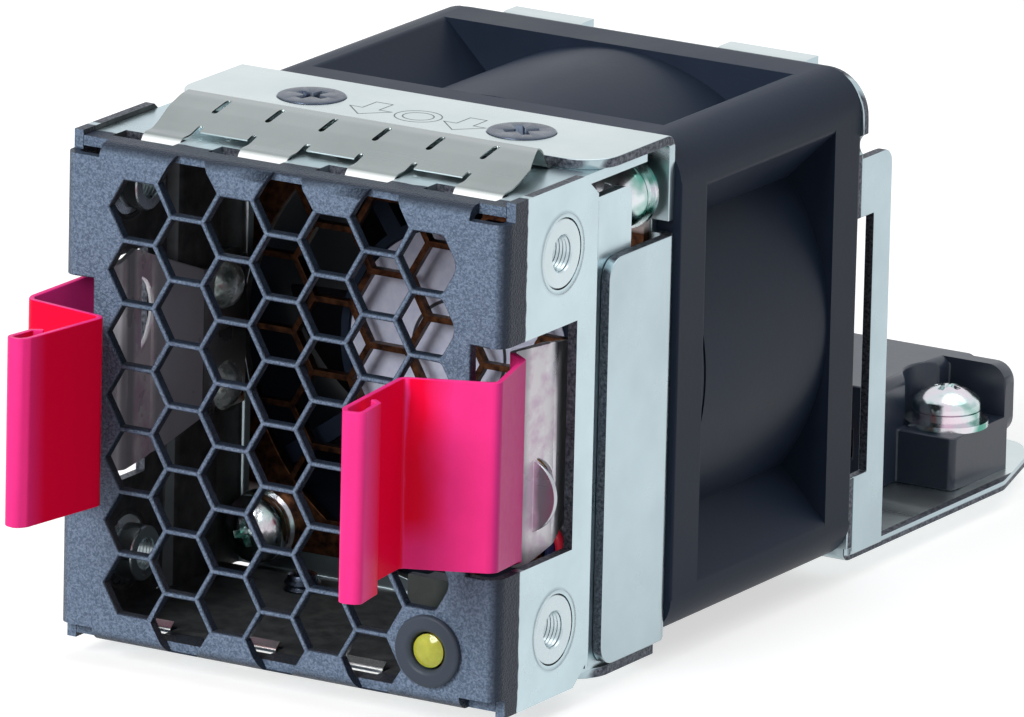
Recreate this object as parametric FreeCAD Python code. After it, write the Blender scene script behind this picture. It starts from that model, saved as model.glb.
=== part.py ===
"""Server fan module: a hot-swap tray with a 40 mm fan, a honeycomb front cover and two squeeze latches.

Design axes: X across the tray (+X is the side with the status light), Y from the front cover to the
connector, Z up.  The design origin is the centre of the cover's front face, and every piece is moved by
PLACE at the end, so that the written parts stand on Z = 0 with the footprint's centre at the origin.
All sizes are in millimetres.
"""
import FreeCAD, Part
import math
import os

V = FreeCAD.Vector

# ---- sheet metal and clearances -----------------------------------------------------------------
SHEET = 0.8              # steel sheet of the cover and both brackets
BEND_INNER = 0.4         # inside bend radius
TOUCH = 0.05             # clearance between pieces that lie against each other
HOLE_PLAY = 0.02         # radial play of pressed and riveted pieces
SCREW_PLAY = 0.1         # radial play of a screw in a clearance hole or washer
YOKE_PLAY = 0.05

# ---- fan ----------------------------------------------------------------------------------------
FAN_SIZE = 40.0
FAN_DEPTH = 28.0
FAN_HOLE_INSET = 4.0     # screw hole centre to the fan's sides
FAN_HOLE_R = 1.75
FAN_CORNER = 3.4
FLANGE = 4.0             # thickness of the fan's end flanges
RAIL = 4.1               # corner rails between the flanges
RAIL_ROUND = 0.6
BORE_WALL = 1.1          # duct bore to the fan's sides
DUCT_WALL = 0.85
GROOVE_W = 0.3           # fine mould groove round the duct behind the front flange
GROOVE_DEEP = 0.25
GROOVE_GAP = 0.7
HUB_R = 10.8
HUB_EDGE = 1.0
BASE_LIP = 0.5           # set-back of the motor base from the fan's front
BASE_BACK = 2.4          # rear face of the motor base from the fan's front
LABEL_EDGE = 0.9         # bare rim round the hub label
LABEL_T = 0.1
STRUT_W = 1.5
STRUT_ANGLES = (35, 125, 215)
LEAD_ANGLE = -55         # the wide strut with the wire channel
LEAD_SINK = 1.3          # wire centres in the channel, from the fan's front
BLADES = 7
BLADE_TIP_GAP = 0.5
BLADE_T = 0.9
CUP_GAP = 0.9            # motor base to the front edge of the hub cup
CUP_SETBACK = 3.2        # rear face of the hub cup from the fan's rear
CUP_T = 0.9
CUP_FLOOR = 1.2
YOKE_T = 0.7
MAGNET_T = 1.0
MAGNET_LEN = 11.0
SHAFT_R = 1.0
BEARING_R = 3.0
BEARING_W = 2.3
BEARING_WALL = 0.7       # moulded tube round the bearings
TUBE_LEN = 15.0
AIR_GAP = 0.3            # stator poles to magnet
POLES = 4
CORE_START = 4.2         # motor base to the lamination stack
CORE_LEN = 7.0
COIL_LEN = 1.1
COIL_HALF = 1.9

# ---- fan guard ----------------------------------------------------------------------------------
GUARD_PITCH = 6.0
GUARD_RIB = 0.5
GUARD_EDGE = 1.7         # guard plate beyond its screw holes
GUARD_T = 0.8

# ---- front cover --------------------------------------------------------------------------------
SIDE_INSET = 0.2         # cover and bracket sides inside the fan's sides
SIDE_RISE = 0.3          # edges of the side flanges beyond the fan's top and bottom
TOP_DROP = 0.4           # top and bottom flanges inside the side flanges' edges
SIDE_DEPTH = 13.9        # front face to the joggle of the side flanges
TAB_END = 20.4           # front face to the rear edge of the joggled tabs
TAB_UP = 2.5             # top edge of the tabs below the side flange's edge
TAB_DOWN = 1.1
TONGUE_END = 23.8        # rear edge of the tabs' riveted tongues
TOP_DEPTH = 22.6         # front face to the rear edge of the top and bottom flanges
CORNER_CLIP = 2.2
NOTCH_X = 3.2            # corner notches of the front face
NOTCH_Z = 1.1

HEX_PITCH = 5.0          # cover honeycomb, centre to centre
HEX_RIB = 0.46
HEX_SIDE = 4.1           # least plain margin beside the honeycomb
HEX_TOP = 2.3            # least plain margin over its even columns

NUT_R = 2.8
NUT_Y = 8.6
NUT_INSET = 5.4          # nut centre to the edge of the side flange
NUT_THREAD_R = 1.25
NUT_BARREL = 2.6

# ---- bracket in front of the fan ----------------------------------------------------------------
BRACKET_REAR = 26.1      # cover's front face to the fan
WING_FRONT = 15.9        # front edge of the bracket's side wings
WING_UP = 7.5            # top edge of the wings below the side flange's edge
WING_DOWN = 0.6
TOP_PLATE_FRONT = 14.4   # front edge of the bracket's top and bottom flanges
TOP_PLATE_INSET = 0.4    # their sides inside the cover's
TOP_PLATE_ROUND = 3.2
WEB_INSET = 0.6

# ---- screws -------------------------------------------------------------------------------------
SCREW_R = 1.5            # M3
COVER_SCREW_X = 9.5      # countersunk screws, from the middle
COVER_SCREW_EDGE = 3.1   # countersunk screws to the rear edge of the cover's flanges
CSK_R = 2.75
CSK_DEPTH = 0.7
PAN_R = 2.75
PAN_H = 2.0
WASHER_R = 3.4
WASHER_GAP = 0.05        # flat washer to the bracket's wing
REAR_HEAD_R = 2.5
WASHER_T = 0.5
SPRING_R = 2.75
SPRING_T = 0.75

# ---- latches ------------------------------------------------------------------------------------
LATCH_H = 15.0           # height of the latch strip
LATCH_T = 0.45           # spring strip thickness
LATCH_SHOULDER = 1.5     # the riveted root is this much lower at either edge
LATCH_SKIRT = 2.4        # extra height of the leaf's lower flank
LATCH_PIVOT_Y = 17.4     # where the strip flexes
LATCH_END = 23.6
HANDLE_FRONT = -16.67    # foremost point of the +X latch
LEFT_FRONT = -13.5       # foremost point of the -X latch
CATCH_Y = 7.9
CATCH_INSET = 1.95       # root of the catch inside the cover's side
MOON_R = 3.05
MOON_OUT = 2.2           # how far the catch stands out of the strip
MOON_EDGE = 3.1          # catch centre to the edge of the strip
CUTOUT_PLAY = 1.6        # cut-out beyond the strip's edges
CUTOUT_DEPTH = 11.1      # front face to the rear edge of the latch cut-out
CUTOUT_FRONT = 2.1       # how far the cut-out runs onto the front face
RIVET_R = 1.0
RIVET_Y = 20.8
RIVET_EDGE = 1.9         # rivet centre to the root's edge
RIVET_HEAD = 1.15

# ---- status light -------------------------------------------------------------------------------
LED_IN_X = 5.9           # lamp centre to the cover's side
LED_IN_Z = 4.4           # lamp centre to the cover's bottom flange
LED_R = 1.33
LED_OUT = 0.5            # top of the lens in front of the cover
LED_CAP = 0.35           # height of the lens' crown
LED_BASE = 3.1
LED_RIM = 0.6
LED_FIT = 0.17           # lamp to bezel, radial
LED_PIN = 0.65
BEZEL_R = 2.85
BEZEL_OUT = 0.55
BEZEL_LIP = 0.45
BEZEL_LEN = 3.0
BOARD_T = 0.8
BOARD_UP = 4.5           # board above and below the lamp's centre
BOARD_DOWN = 2.7
BOARD_IN = 4.3
SOCKET_H = 2.2

# ---- shielding strips ---------------------------------------------------------------------------
STRIP_PITCH = 4.82       # shielding fingers
STRIP_SIDE = 2.4         # least margin beside the strip
STRIP_T = 0.12
STRIP_X = 0.55           # the strip's middle
STRIP_SLIT = 0.5
STRIP_CREST = 1.15       # height of the bow over the bracket's top flange
STRIP_SLOT = (8.3, 10.8)  # slits between the fingers at the bow
HOOK_Y = 3.55            # foremost point of the hooks, behind the cover's front face
HOOK_SLOT = 2.0          # the cover's slots are this much wider than the hooks, on their -X side
HOOK_PLAY = 0.12

# ---- rear bracket -------------------------------------------------------------------------------
TAIL_LEN = 36.9          # rear plate to the end of the tail
TAIL_INSET = 0.6         # tail inside the fan's sides
TAIL_DROP = 0.3          # underside of the tail below the fan
PLATE_INSET = 0.2
LUG_OUT = 0.25           # upper corners of the rear plate beyond the fan's sides
LUG_ROUND = 3.6
SIDE_LEN = 4.8           # rear plate to the edge of its side flange
SIDE_TOP = 12.7
SIDE_GAP = 0.6
WINDOW_LEN = 2.1
WINDOW_IN = 3.4
WINDOW_TOP = 7.9
WINDOW_BOTTOM = -13.3
RELIEF_R = 1.05
RELIEF_OUT = 0.75        # relief centre outside the side flange
LIPS = ((-13.4, -6.2), (6.4, 14.4))
LIP_LEN = 2.0            # small lips on the rear bracket's top edge
LIP_UP = 0.1

# ---- connector ----------------------------------------------------------------------------------
PLUG_W = 24.8
PLUG_H = 8.65
PLUG_BACK = 16.1         # rear plate to the front of the plug
PLUG_LEN = 12.4
PLUG_WALL_T = 1.6
PLUG_EARS_W = 35.2
EAR_H = 4.4
EAR_BACK = 4.0           # front of the plug to the front of its ears
EAR_SCREW_BACK = 4.0
EAR_SCREW_X = 14.7
EAR_RELIEF = 0.2
CONTACTS = 6
CONTACT_PITCH = 3.0
CONTACT_UP = 3.8
CONTACT_HALF = 0.4
SHROUD_LEN = 6.8
SHROUD_WALL = 0.9
MOUTH_SIDE = 3.0         # outer contacts to the mouth's sides
MOUTH_HALF = 2.5
MOUTH_SINK = 2.4         # mouth's floor in front of the plug's rear wall
MOUTH_FREE = 4.4         # free depth of the connector's mouth in front of its contacts
WIRE_ENTRY = 1.2

# ---- wires --------------------------------------------------------------------------------------
WIRE_R = 0.45
WIRE_STEP = 0.95         # lane spacing of the wires
FAN_WIRES = 4
LED_WIRES = 2
LANE_IN = 2.54           # first lane inside the meeting of the lead strut and the duct
LANE_UP = 1.55           # wire centres above the fan's underside
NOTCH_PLAY = 0.2

# ---- derived values -----------------------------------------------------------------------------
BEND = SHEET + BEND_INNER
HALF_FAN = FAN_SIZE / 2
HALF_HOLES = HALF_FAN - FAN_HOLE_INSET
BORE_R = HALF_FAN - BORE_WALL
HALF_W = HALF_FAN - SIDE_INSET
HALF_H = HALF_FAN + SIDE_RISE
FAN_WASHER_R = HALF_W - SHEET - HALF_HOLES - WASHER_GAP
COVER_W = 2 * HALF_W
COVER_H = 2 * HALF_H
FLANGE_Z = HALF_H - TOP_DROP
PLATE_Z = FLANGE_Z + SHEET
NUT_Z = HALF_H - NUT_INSET
COVER_SCREW_Y = TOP_DEPTH - COVER_SCREW_EDGE

BRACKET_FRONT = BRACKET_REAR - SHEET
GUARD_FRONT = BRACKET_FRONT - GUARD_T
FAN_FRONT = BRACKET_REAR
FAN_REAR = FAN_FRONT + FAN_DEPTH
REAR_PLATE = FAN_REAR + SHEET

ROOT_HALF = LATCH_H / 2 - LATCH_SHOULDER
RIVET_Z = ROOT_HALF - RIVET_EDGE
MOON_Z = MOON_EDGE - LATCH_H / 2
CUTOUT_Z = LATCH_H / 2 + CUTOUT_PLAY
PAD_X = HALF_W - 2 * SHEET - 2 * TOUCH - LATCH_T / 2

LED_X = HALF_W - LED_IN_X
LED_Z = LED_IN_Z - FLANGE_Z
BOARD_Y = LED_BASE + LED_RIM + TOUCH
BOARD_X0 = LED_X - BOARD_IN
BOARD_Z0 = LED_Z - BOARD_DOWN
BOARD_Z1 = LED_Z + BOARD_UP

HEX_STEP = HEX_PITCH * math.sqrt(3) / 2
HEX_COLUMNS = int((COVER_W - 2 * HEX_SIDE) / HEX_STEP)
HEX_ROWS = int((2 * FLANGE_Z - 2 * HEX_TOP) / HEX_PITCH)
STRIP_FINGERS = int((COVER_W - 2 * STRIP_SIDE) / STRIP_PITCH)

STATOR_BACK = FAN_FRONT + BASE_BACK
LEAD_Y = FAN_FRONT + LEAD_SINK
CHANNEL_FLOOR = LEAD_Y + WIRE_R + 0.1
BEARING_Y = (STATOR_BACK + 0.6, STATOR_BACK + TUBE_LEN - 0.4 - BEARING_W)
CUP_FRONT = STATOR_BACK + CUP_GAP
CUP_REAR = FAN_REAR - CUP_SETBACK
BLADE_MID = (CUP_FRONT + CUP_REAR + 1.0) / 2
YOKE_R = HUB_R - CUP_T - YOKE_PLAY
MAGNET_R = YOKE_R - YOKE_T - HOLE_PLAY
CORE_R = MAGNET_R - MAGNET_T - AIR_GAP
CORE_HUB = BEARING_R + BEARING_WALL + 0.6
CORE_Y0 = STATOR_BACK + CORE_START

TAIL_END = REAR_PLATE + TAIL_LEN
TAIL_UNDER = -HALF_FAN - TAIL_DROP
TAIL_TOP = TAIL_UNDER + SHEET
SIDE_END = REAR_PLATE + SIDE_LEN
PLUG_FRONT = REAR_PLATE + PLUG_BACK
PLUG_WALL_Y = PLUG_FRONT + PLUG_LEN
EAR_FRONT = PLUG_FRONT + EAR_BACK
EAR_SCREW_Y = EAR_FRONT + EAR_SCREW_BACK
SHROUD_END = PLUG_WALL_Y + SHROUD_LEN
CONTACT_Z = TAIL_TOP + CONTACT_UP
WIRE_END = PLUG_FRONT + WIRE_ENTRY
WIRE_Z = LANE_UP - HALF_FAN
LANE_X = BORE_R * math.cos(math.radians(LEAD_ANGLE)) - LANE_IN

LOWEST = -(PLATE_Z + STRIP_CREST)
PLACE = V(0, -(TAIL_END + HANDLE_FRONT) / 2, -LOWEST)


# ---- small shape helpers ------------------------------------------------------------------------
def block(x0, x1, y0, y1, z0, z1):
    return Part.makeBox(x1 - x0, y1 - y0, z1 - z0, V(x0, y0, z0))


def rod(point, axis, radius, length):
    return Part.makeCylinder(radius, length, point, axis)


def ring(point, axis, outer, inner, length):
    return rod(point, axis, outer, length).cut(rod(point - axis * 1, axis, inner, length + 2))


def mirror_x(shape):
    return shape.mirror(V(0, 0, 0), V(1, 0, 0))


def mirror_z(shape):
    return shape.mirror(V(0, 0, 0), V(0, 0, 1))


def fuse_all(shapes):
    return shapes[0].multiFuse(shapes[1:]).removeSplitter() if len(shapes) > 1 else shapes[0]


def arc_between(before, corner, after, radius):
    """Tangent points and middle of a fillet of the given radius at a polyline corner."""
    back = (before - corner).normalize()
    ahead = (after - corner).normalize()
    half = back.getAngle(ahead) / 2
    reach = radius / math.tan(half)
    start = corner + back * reach
    end = corner + ahead * reach
    centre = corner + (back + ahead).normalize() * (radius / math.sin(half))
    middle = centre + (corner - centre).normalize() * radius
    return start, middle, end


def rounded_outline(points, radii):
    """Closed wire through the points; a radius of 0 leaves a sharp corner."""
    count = len(points)
    spans = []
    for i in range(count):
        if radii[i] > 0:
            spans.append(arc_between(points[i - 1], points[i], points[(i + 1) % count], radii[i]))
        else:
            spans.append((points[i], None, points[i]))
    edges = []
    for i in range(count):
        start, middle, end = spans[i]
        if middle is not None:
            edges.append(Part.Arc(start, middle, end).toShape())
        following = spans[(i + 1) % count][0]
        if (following - end).Length > 1e-6:
            edges.append(Part.LineSegment(end, following).toShape())
    return Part.Wire(edges)


def prism(wire, along):
    return Part.Face(wire).extrude(along)


def strip_outline(centre, radii, thickness):
    """Outline of a bent strip in the XY plane: both sides of a centre line, concentric at the bends."""
    half = thickness / 2
    count = len(centre)
    left = []
    right = []
    for i, point in enumerate(centre):
        if i == 0:
            way = (centre[1] - point).normalize()
            shift = V(-way.y, way.x, 0) * half
        elif i == count - 1:
            way = (point - centre[i - 1]).normalize()
            shift = V(-way.y, way.x, 0) * half
        else:
            come = (point - centre[i - 1]).normalize()
            leave = (centre[i + 1] - point).normalize()
            bisector = (V(-come.y, come.x, 0) + V(-leave.y, leave.x, 0)).normalize()
            shift = bisector * (half / bisector.dot(V(-come.y, come.x, 0)))
        left.append(point + shift)
        right.append(point - shift)
    left_radii = [0]
    right_radii = [0]
    for i in range(1, count - 1):
        come = (centre[i] - centre[i - 1])
        leave = (centre[i + 1] - centre[i])
        turn_left = come.cross(leave).z > 0
        left_radii.append(radii[i - 1] + (-half if turn_left else half))
        right_radii.append(radii[i - 1] + (half if turn_left else -half))
    left_radii.append(0)
    right_radii.append(0)
    return rounded_outline(left + right[::-1], left_radii + right_radii[::-1])


def strip_solid(centre, radii, thickness, z0, z1):
    solid = prism(strip_outline(centre, radii, thickness), V(0, 0, z1 - z0))
    solid.translate(V(0, 0, z0))
    return solid


def pan(width, height, depth, along):
    """U-shaped bent sheet: a web in the XZ plane at Y = 0 and two flanges; bends run along Z or X."""
    half = (width if along == "z" else height) / 2
    outline = [V(-half, depth, 0), V(-half, 0, 0), V(half, 0, 0), V(half, depth, 0),
               V(half - SHEET, depth, 0), V(half - SHEET, SHEET, 0),
               V(-half + SHEET, SHEET, 0), V(-half + SHEET, depth, 0)]
    inner = BEND - SHEET
    wire = rounded_outline(outline, [0, BEND, BEND, 0, 0, inner, inner, 0])
    length = height if along == "z" else width
    solid = prism(wire, V(0, 0, length))
    solid.translate(V(0, 0, -length / 2))
    if along == "x":
        solid.rotate(V(0, 0, 0), V(0, 1, 0), 90)
    return solid


def hexagon(x, z, flats, y0, y1, rounded=0.0):
    """Hexagonal prism along Y, flat sides up and down; its +X corner may be rounded."""
    reach = flats / math.sqrt(3)
    corners = [V(x + reach * math.cos(math.radians(60 * k)), y0, z + reach * math.sin(math.radians(60 * k)))
               for k in range(6)]
    radii = [rounded, rounded / 3, 0, 0, 0, rounded / 3]
    return prism(rounded_outline(corners, radii), V(0, y1 - y0, 0))


def round_edges(shape, radius, wanted):
    edges = [edge for edge in shape.Edges if wanted(edge)]
    return shape.makeFillet(radius, edges) if edges else shape


def runs_along(edge, axis):
    start = edge.Vertexes[0].Point
    end = edge.Vertexes[-1].Point
    way = end - start
    return way.Length > 1e-6 and abs(way.normalize().dot(axis)) > 0.999


# ---- front cover --------------------------------------------------------------------------------
def hex_centres():
    """Centres of the cover's honeycomb; odd columns stand half a pitch apart and run into the bends.

    The cell that the status light takes the place of is left out.
    """
    reach = (HEX_PITCH - HEX_RIB) / math.sqrt(3)
    for column in range(HEX_COLUMNS):
        x = (column - (HEX_COLUMNS - 1) / 2) * HEX_STEP
        rows = HEX_ROWS + column % 2
        for row in range(rows):
            z = ((rows - 1) / 2 - row) * HEX_PITCH
            if math.hypot(x - LED_X, z - LED_Z) > BEZEL_R + reach:
                yield column, x, z


def finger_centres():
    for k in range(STRIP_FINGERS):
        yield k, STRIP_X + (k - (STRIP_FINGERS - 1) / 2) * STRIP_PITCH


def latch_cutout():
    """Corner opening for the +X latch, in the front face and in the side flange."""
    side = block(HALF_W - SHEET - 2, HALF_W + 1, -1, CUTOUT_DEPTH, -CUTOUT_Z, CUTOUT_Z)
    front = block(HALF_W - CUTOUT_FRONT, HALF_W + 1, -1, CUTOUT_FRONT, -CUTOUT_Z, CUTOUT_Z)
    return side.fuse(front)


def joggled_tab(rear, low, high):
    """Extension of the +X side flange, set one sheet inwards so that it tucks under the bracket's wing."""
    outer = HALF_W - SHEET / 2
    inner = outer - SHEET - TOUCH
    path = [V(outer, SIDE_DEPTH - 0.4, 0), V(outer, SIDE_DEPTH, 0), V(inner, SIDE_DEPTH + 1.0, 0),
            V(inner, rear, 0)]
    tab = strip_solid(path, [0.6, 0.6], SHEET, low, high)
    return round_edges(tab, 1.2, lambda e: abs(e.CenterOfMass.y - rear) < 1e-3 and runs_along(e, V(1, 0, 0)))


def hook_slots():
    """Slots in the top and bottom flanges that the shielding strips' long fingers hook through."""
    slots = []
    half = (STRIP_PITCH - STRIP_SLIT) / 2
    leftmost = SHEET + TOUCH + 1.8 - HALF_W
    for k, x in finger_centres():
        if k % 2 == 0:
            left = max(x - half - HOOK_SLOT, leftmost)
            slot = block(left, x + half + HOOK_PLAY, HOOK_Y - 0.85, HOOK_Y + 1.15, FLANGE_Z - 2, FLANGE_Z + 1)
            slots += [slot, mirror_z(slot)]
    return slots


def front_cover():
    side_pan = pan(COVER_W, COVER_H, SIDE_DEPTH, "z")
    top_pan = pan(COVER_W - 2 * (SHEET + TOUCH), 2 * FLANGE_Z, TOP_DEPTH, "x")
    notch_x = HALF_W - NOTCH_X
    notch_z = FLANGE_Z - NOTCH_Z
    relief = BEND + 0.3
    side_trim = []
    for sign in (-1, 1):
        z0, z1 = sorted((sign * notch_z, sign * (HALF_H + 1)))
        side_trim.append(block(-HALF_W - 1, HALF_W + 1, -1, relief, z0, z1))
        z2, z3 = sorted((sign * (FLANGE_Z - BEND), sign * (HALF_H + 1)))
        side_trim.append(block(-notch_x, notch_x, -1, relief, z2, z3))
    top_trim = [block(notch_x, HALF_W + 1, -1, relief, -HALF_H, HALF_H),
                block(-HALF_W - 1, -notch_x, -1, relief, -HALF_H, HALF_H)]
    cover = side_pan.cut(side_trim).fuse(top_pan.cut(top_trim))

    # side flanges: clipped rear corners, then the joggled tabs with their riveted tongues
    for sign in (-1, 1):
        for up in (-1, 1):
            corner = [V(sign * (HALF_W + 1), SIDE_DEPTH - CORNER_CLIP, up * (HALF_H + 0.01)),
                      V(sign * (HALF_W + 1), SIDE_DEPTH + 0.01, up * (HALF_H + 0.01)),
                      V(sign * (HALF_W + 1), SIDE_DEPTH + 0.01, up * (HALF_H - CORNER_CLIP * 0.8))]
            wedge = prism(Part.makePolygon(corner + corner[:1]), V(-sign * (SHEET + 1.02), 0, 0))
            cover = cover.cut(wedge)
    tab = joggled_tab(TAB_END, TAB_DOWN - HALF_H, HALF_H - TAB_UP)
    tab = tab.fuse(joggled_tab(TONGUE_END, -ROOT_HALF - 0.6, ROOT_HALF + 0.6)).removeSplitter()
    cover = cover.fuse([tab, mirror_x(tab)])

    # honeycomb; the cells of the +X column have rounded outer corners
    cells = []
    for column, x, z in hex_centres():
        rounded = HEX_PITCH * 0.3 if column == HEX_COLUMNS - 1 else 0.0
        cells.append(hexagon(x, z, HEX_PITCH - HEX_RIB, -1, SHEET + 0.25, rounded))
    cover = cover.cut(cells)

    # latch cut-outs, light hole, hook slots, screw holes, nut and rivet holes
    cuts = [latch_cutout(), mirror_x(latch_cutout()),
            rod(V(LED_X, -1, LED_Z), V(0, 1, 0), BEZEL_R - BEZEL_LIP, 3)]
    cuts += hook_slots()
    for x in (-COVER_SCREW_X, COVER_SCREW_X):
        cuts.append(rod(V(x, COVER_SCREW_Y, -HALF_H - 1), V(0, 0, 1), SCREW_R, COVER_H + 2))
    for x, y, z in nut_places():
        cuts.append(rod(V(x, y, z), V(-x, 0, 0).normalize(), NUT_R + HOLE_PLAY, 2))
    for z in (-RIVET_Z, RIVET_Z):
        cuts.append(rod(V(-HALF_W, RIVET_Y, z), V(1, 0, 0), RIVET_R + HOLE_PLAY, COVER_W))
    return cover.cut(cuts)


def nut_places():
    """Clinched nuts: a point just outside each side flange."""
    for sign in (-1, 1):
        for z in (NUT_Z, -NUT_Z):
            yield sign * (HALF_W + 0.01), NUT_Y, z


def clinch_nuts():
    """Flush self-clinching nuts; the lower two are open, the upper two are blind."""
    nuts = []
    for x, y, z in nut_places():
        inward = V(-x, 0, 0).normalize()
        start = V(x, y, z) + inward * 0.01
        body = rod(start, inward, NUT_R, SHEET)
        body = body.fuse(rod(start + inward * SHEET, inward, NUT_R - 0.4, NUT_BARREL))
        if z < 0:
            body = body.cut(rod(start, inward, NUT_THREAD_R, SHEET + NUT_BARREL - 0.5))
            body = body.cut(Part.makeCone(NUT_THREAD_R + 0.65, NUT_THREAD_R, 0.65, start, inward))
        else:
            dish = Part.makeSphere(NUT_R * 0.93, start - inward * NUT_R * 0.75)
            body = body.cut(dish)
        nuts.append(body)
    return Part.makeCompound(nuts)


# ---- status light -------------------------------------------------------------------------------
def led_bezel():
    """Flanged sleeve pressed into the cover from the front; the lamp stands in it."""
    front = V(LED_X, -BEZEL_OUT, LED_Z)
    along = V(0, 1, 0)
    flange = rod(front, along, BEZEL_R, BEZEL_OUT)
    flange = round_edges(flange, 0.25, lambda e: abs(e.CenterOfMass.y + BEZEL_OUT) < 1e-3 and e.Length > 5)
    sleeve = rod(V(LED_X, 0, LED_Z), along, BEZEL_R - BEZEL_LIP - HOLE_PLAY, BEZEL_LEN)
    bore = rod(front - along, along, LED_R + LED_FIT, BEZEL_LEN + 3)
    cup = Part.makeCone(LED_R + LED_FIT + 0.3, LED_R + LED_FIT, 0.3, front, along)
    return flange.fuse(sleeve).cut([bore, cup]).removeSplitter()


def status_led():
    """Round lamp: a body with a crowned lens and a rim, and two leads to the board."""
    along = V(0, 1, 0)
    crown_r = (LED_R ** 2 + LED_CAP ** 2) / (2 * LED_CAP)
    body = rod(V(LED_X, LED_CAP - LED_OUT, LED_Z), along, LED_R, LED_BASE - LED_CAP + LED_OUT)
    crown = Part.makeSphere(crown_r, V(LED_X, crown_r - LED_OUT, LED_Z))
    crown = crown.common(rod(V(LED_X, -LED_OUT - 0.1, LED_Z), along, LED_R, LED_CAP + 0.5))
    rim = rod(V(LED_X, LED_BASE, LED_Z), along, LED_R + 0.3, LED_RIM)
    lamp = fuse_all([body, crown, rim])
    pins = [rod(V(LED_X + dx, LED_BASE + LED_RIM, LED_Z), along, 0.25, BOARD_T + 0.8)
            for dx in (-LED_PIN, LED_PIN)]
    return fuse_all([lamp] + pins)


def led_board():
    """Small circuit board that carries the lamp, with its wire socket."""
    board = block(BOARD_X0, HALF_W - SHEET - TOUCH, BOARD_Y, BOARD_Y + BOARD_T, BOARD_Z0, BOARD_Z1)
    holes = [rod(V(LED_X + dx, BOARD_Y - 1, LED_Z), V(0, 1, 0), 0.3, BOARD_T + 2) for dx in (-LED_PIN, LED_PIN)]
    nut_room = rod(V(HALF_W, BOARD_Y - 1, -NUT_Z), V(0, 1, 0), SHEET + NUT_BARREL + 0.3, BOARD_T + 2)
    back = BOARD_Y + BOARD_T
    socket = block(BOARD_X0 + 0.6, BOARD_X0 + 3.0, back, back + SOCKET_H, BOARD_Z1 - 2.6, BOARD_Z1 - 0.4)
    return board.cut(holes + [nut_room]).fuse(socket).removeSplitter()


# ---- shielding strips ---------------------------------------------------------------------------
def strip_profile(long_finger):
    """Centre line of the shielding strip in the YZ plane, from its foot behind to the finger's tip."""
    low = FLANGE_Z
    foot = low + TOUCH + STRIP_T / 2
    crest = PLATE_Z + STRIP_CREST - STRIP_T / 2
    rear = TOP_PLATE_FRONT - 0.1
    slope = crest - low
    line = [V(rear, foot, 0), V(rear - 0.9, foot, 0), V(rear - 2.0, crest, 0), V(rear - 3.7, crest - 0.04, 0),
            V(HOOK_Y + 4.75, low + 0.73 * slope, 0), V(HOOK_Y + 3.05, low + 0.34 * slope, 0)]
    if long_finger:
        line += [V(HOOK_Y + 1.85, low + 0.25, 0), V(HOOK_Y + 0.65, low + 0.2, 0), V(HOOK_Y, low - 0.75, 0),
                 V(HOOK_Y + 0.75, low - 1.35, 0)]
        return line, [0.4, 0.9, 4.0, 4.0, 3.0, 2.0, 0.8, 0.35]
    return line + [V(HOOK_Y + 2.4, low + 0.42, 0)], [0.4, 0.9, 4.0, 4.0, 3.0]


def emi_strip():
    """Bowed finger strip on the top flange: long fingers hook through the cover, short ones stop early."""
    gap = STRIP_SLIT / 2
    turn = FreeCAD.Rotation(V(1, 1, 1), 120)
    low = FLANGE_Z - 3
    outlines = []
    for long_finger in (True, False):
        line, radii = strip_profile(long_finger)
        outlines.append(strip_outline(line, radii, STRIP_T))
    fingers = []
    for k, x in finger_centres():
        body = prism(outlines[k % 2], V(0, 0, STRIP_PITCH))
        body.Placement = FreeCAD.Placement(V(x - STRIP_PITCH / 2, 0, 0), turn)
        fingers.append(body)
    strip = fuse_all(fingers)
    x0 = STRIP_X - STRIP_FINGERS * STRIP_PITCH / 2
    x1 = STRIP_X + STRIP_FINGERS * STRIP_PITCH / 2
    slit_end = HOOK_Y + 2.9
    web_front, web_rear = STRIP_SLOT
    cuts = []
    for k in range(1, STRIP_FINGERS):
        edge = x0 + k * STRIP_PITCH
        cuts.append(block(edge - gap, edge + gap, 0, slit_end, low, PLATE_Z + 2))
        cuts.append(rod(V(edge, slit_end, low), V(0, 0, 1), gap, 8))
        cuts.append(block(edge - gap, edge + gap, web_front + gap, web_rear - gap, low, PLATE_Z + 2))
        cuts.append(rod(V(edge, web_front + gap, low), V(0, 0, 1), gap, 8))
        cuts.append(rod(V(edge, web_rear - gap, low), V(0, 0, 1), gap, 8))
    # slanted ends
    left = [V(x0 - 1, 0, low), V(x0 + 1.2, 0, low), V(x0 + 1.1, HOOK_Y + 2, low), V(x0, TOP_PLATE_FRONT, low),
            V(x0 - 1, TOP_PLATE_FRONT, low)]
    right = [V(x1 + 1, HOOK_Y + 4.5, low), V(x1 - 0.3, HOOK_Y + 4.5, low), V(x1 - 1.9, HOOK_Y + 8.3, low),
             V(x1 - 1.9, TOP_PLATE_FRONT, low), V(x1 + 1, TOP_PLATE_FRONT, low)]
    for corner in (left, right):
        cuts.append(prism(Part.makePolygon(corner + corner[:1]), V(0, 0, 8)))
    cuts.append(block(x1 - 0.3, x1 + 1, 0, HOOK_Y + 5, low, PLATE_Z + 2))
    return strip.cut(cuts)


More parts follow.
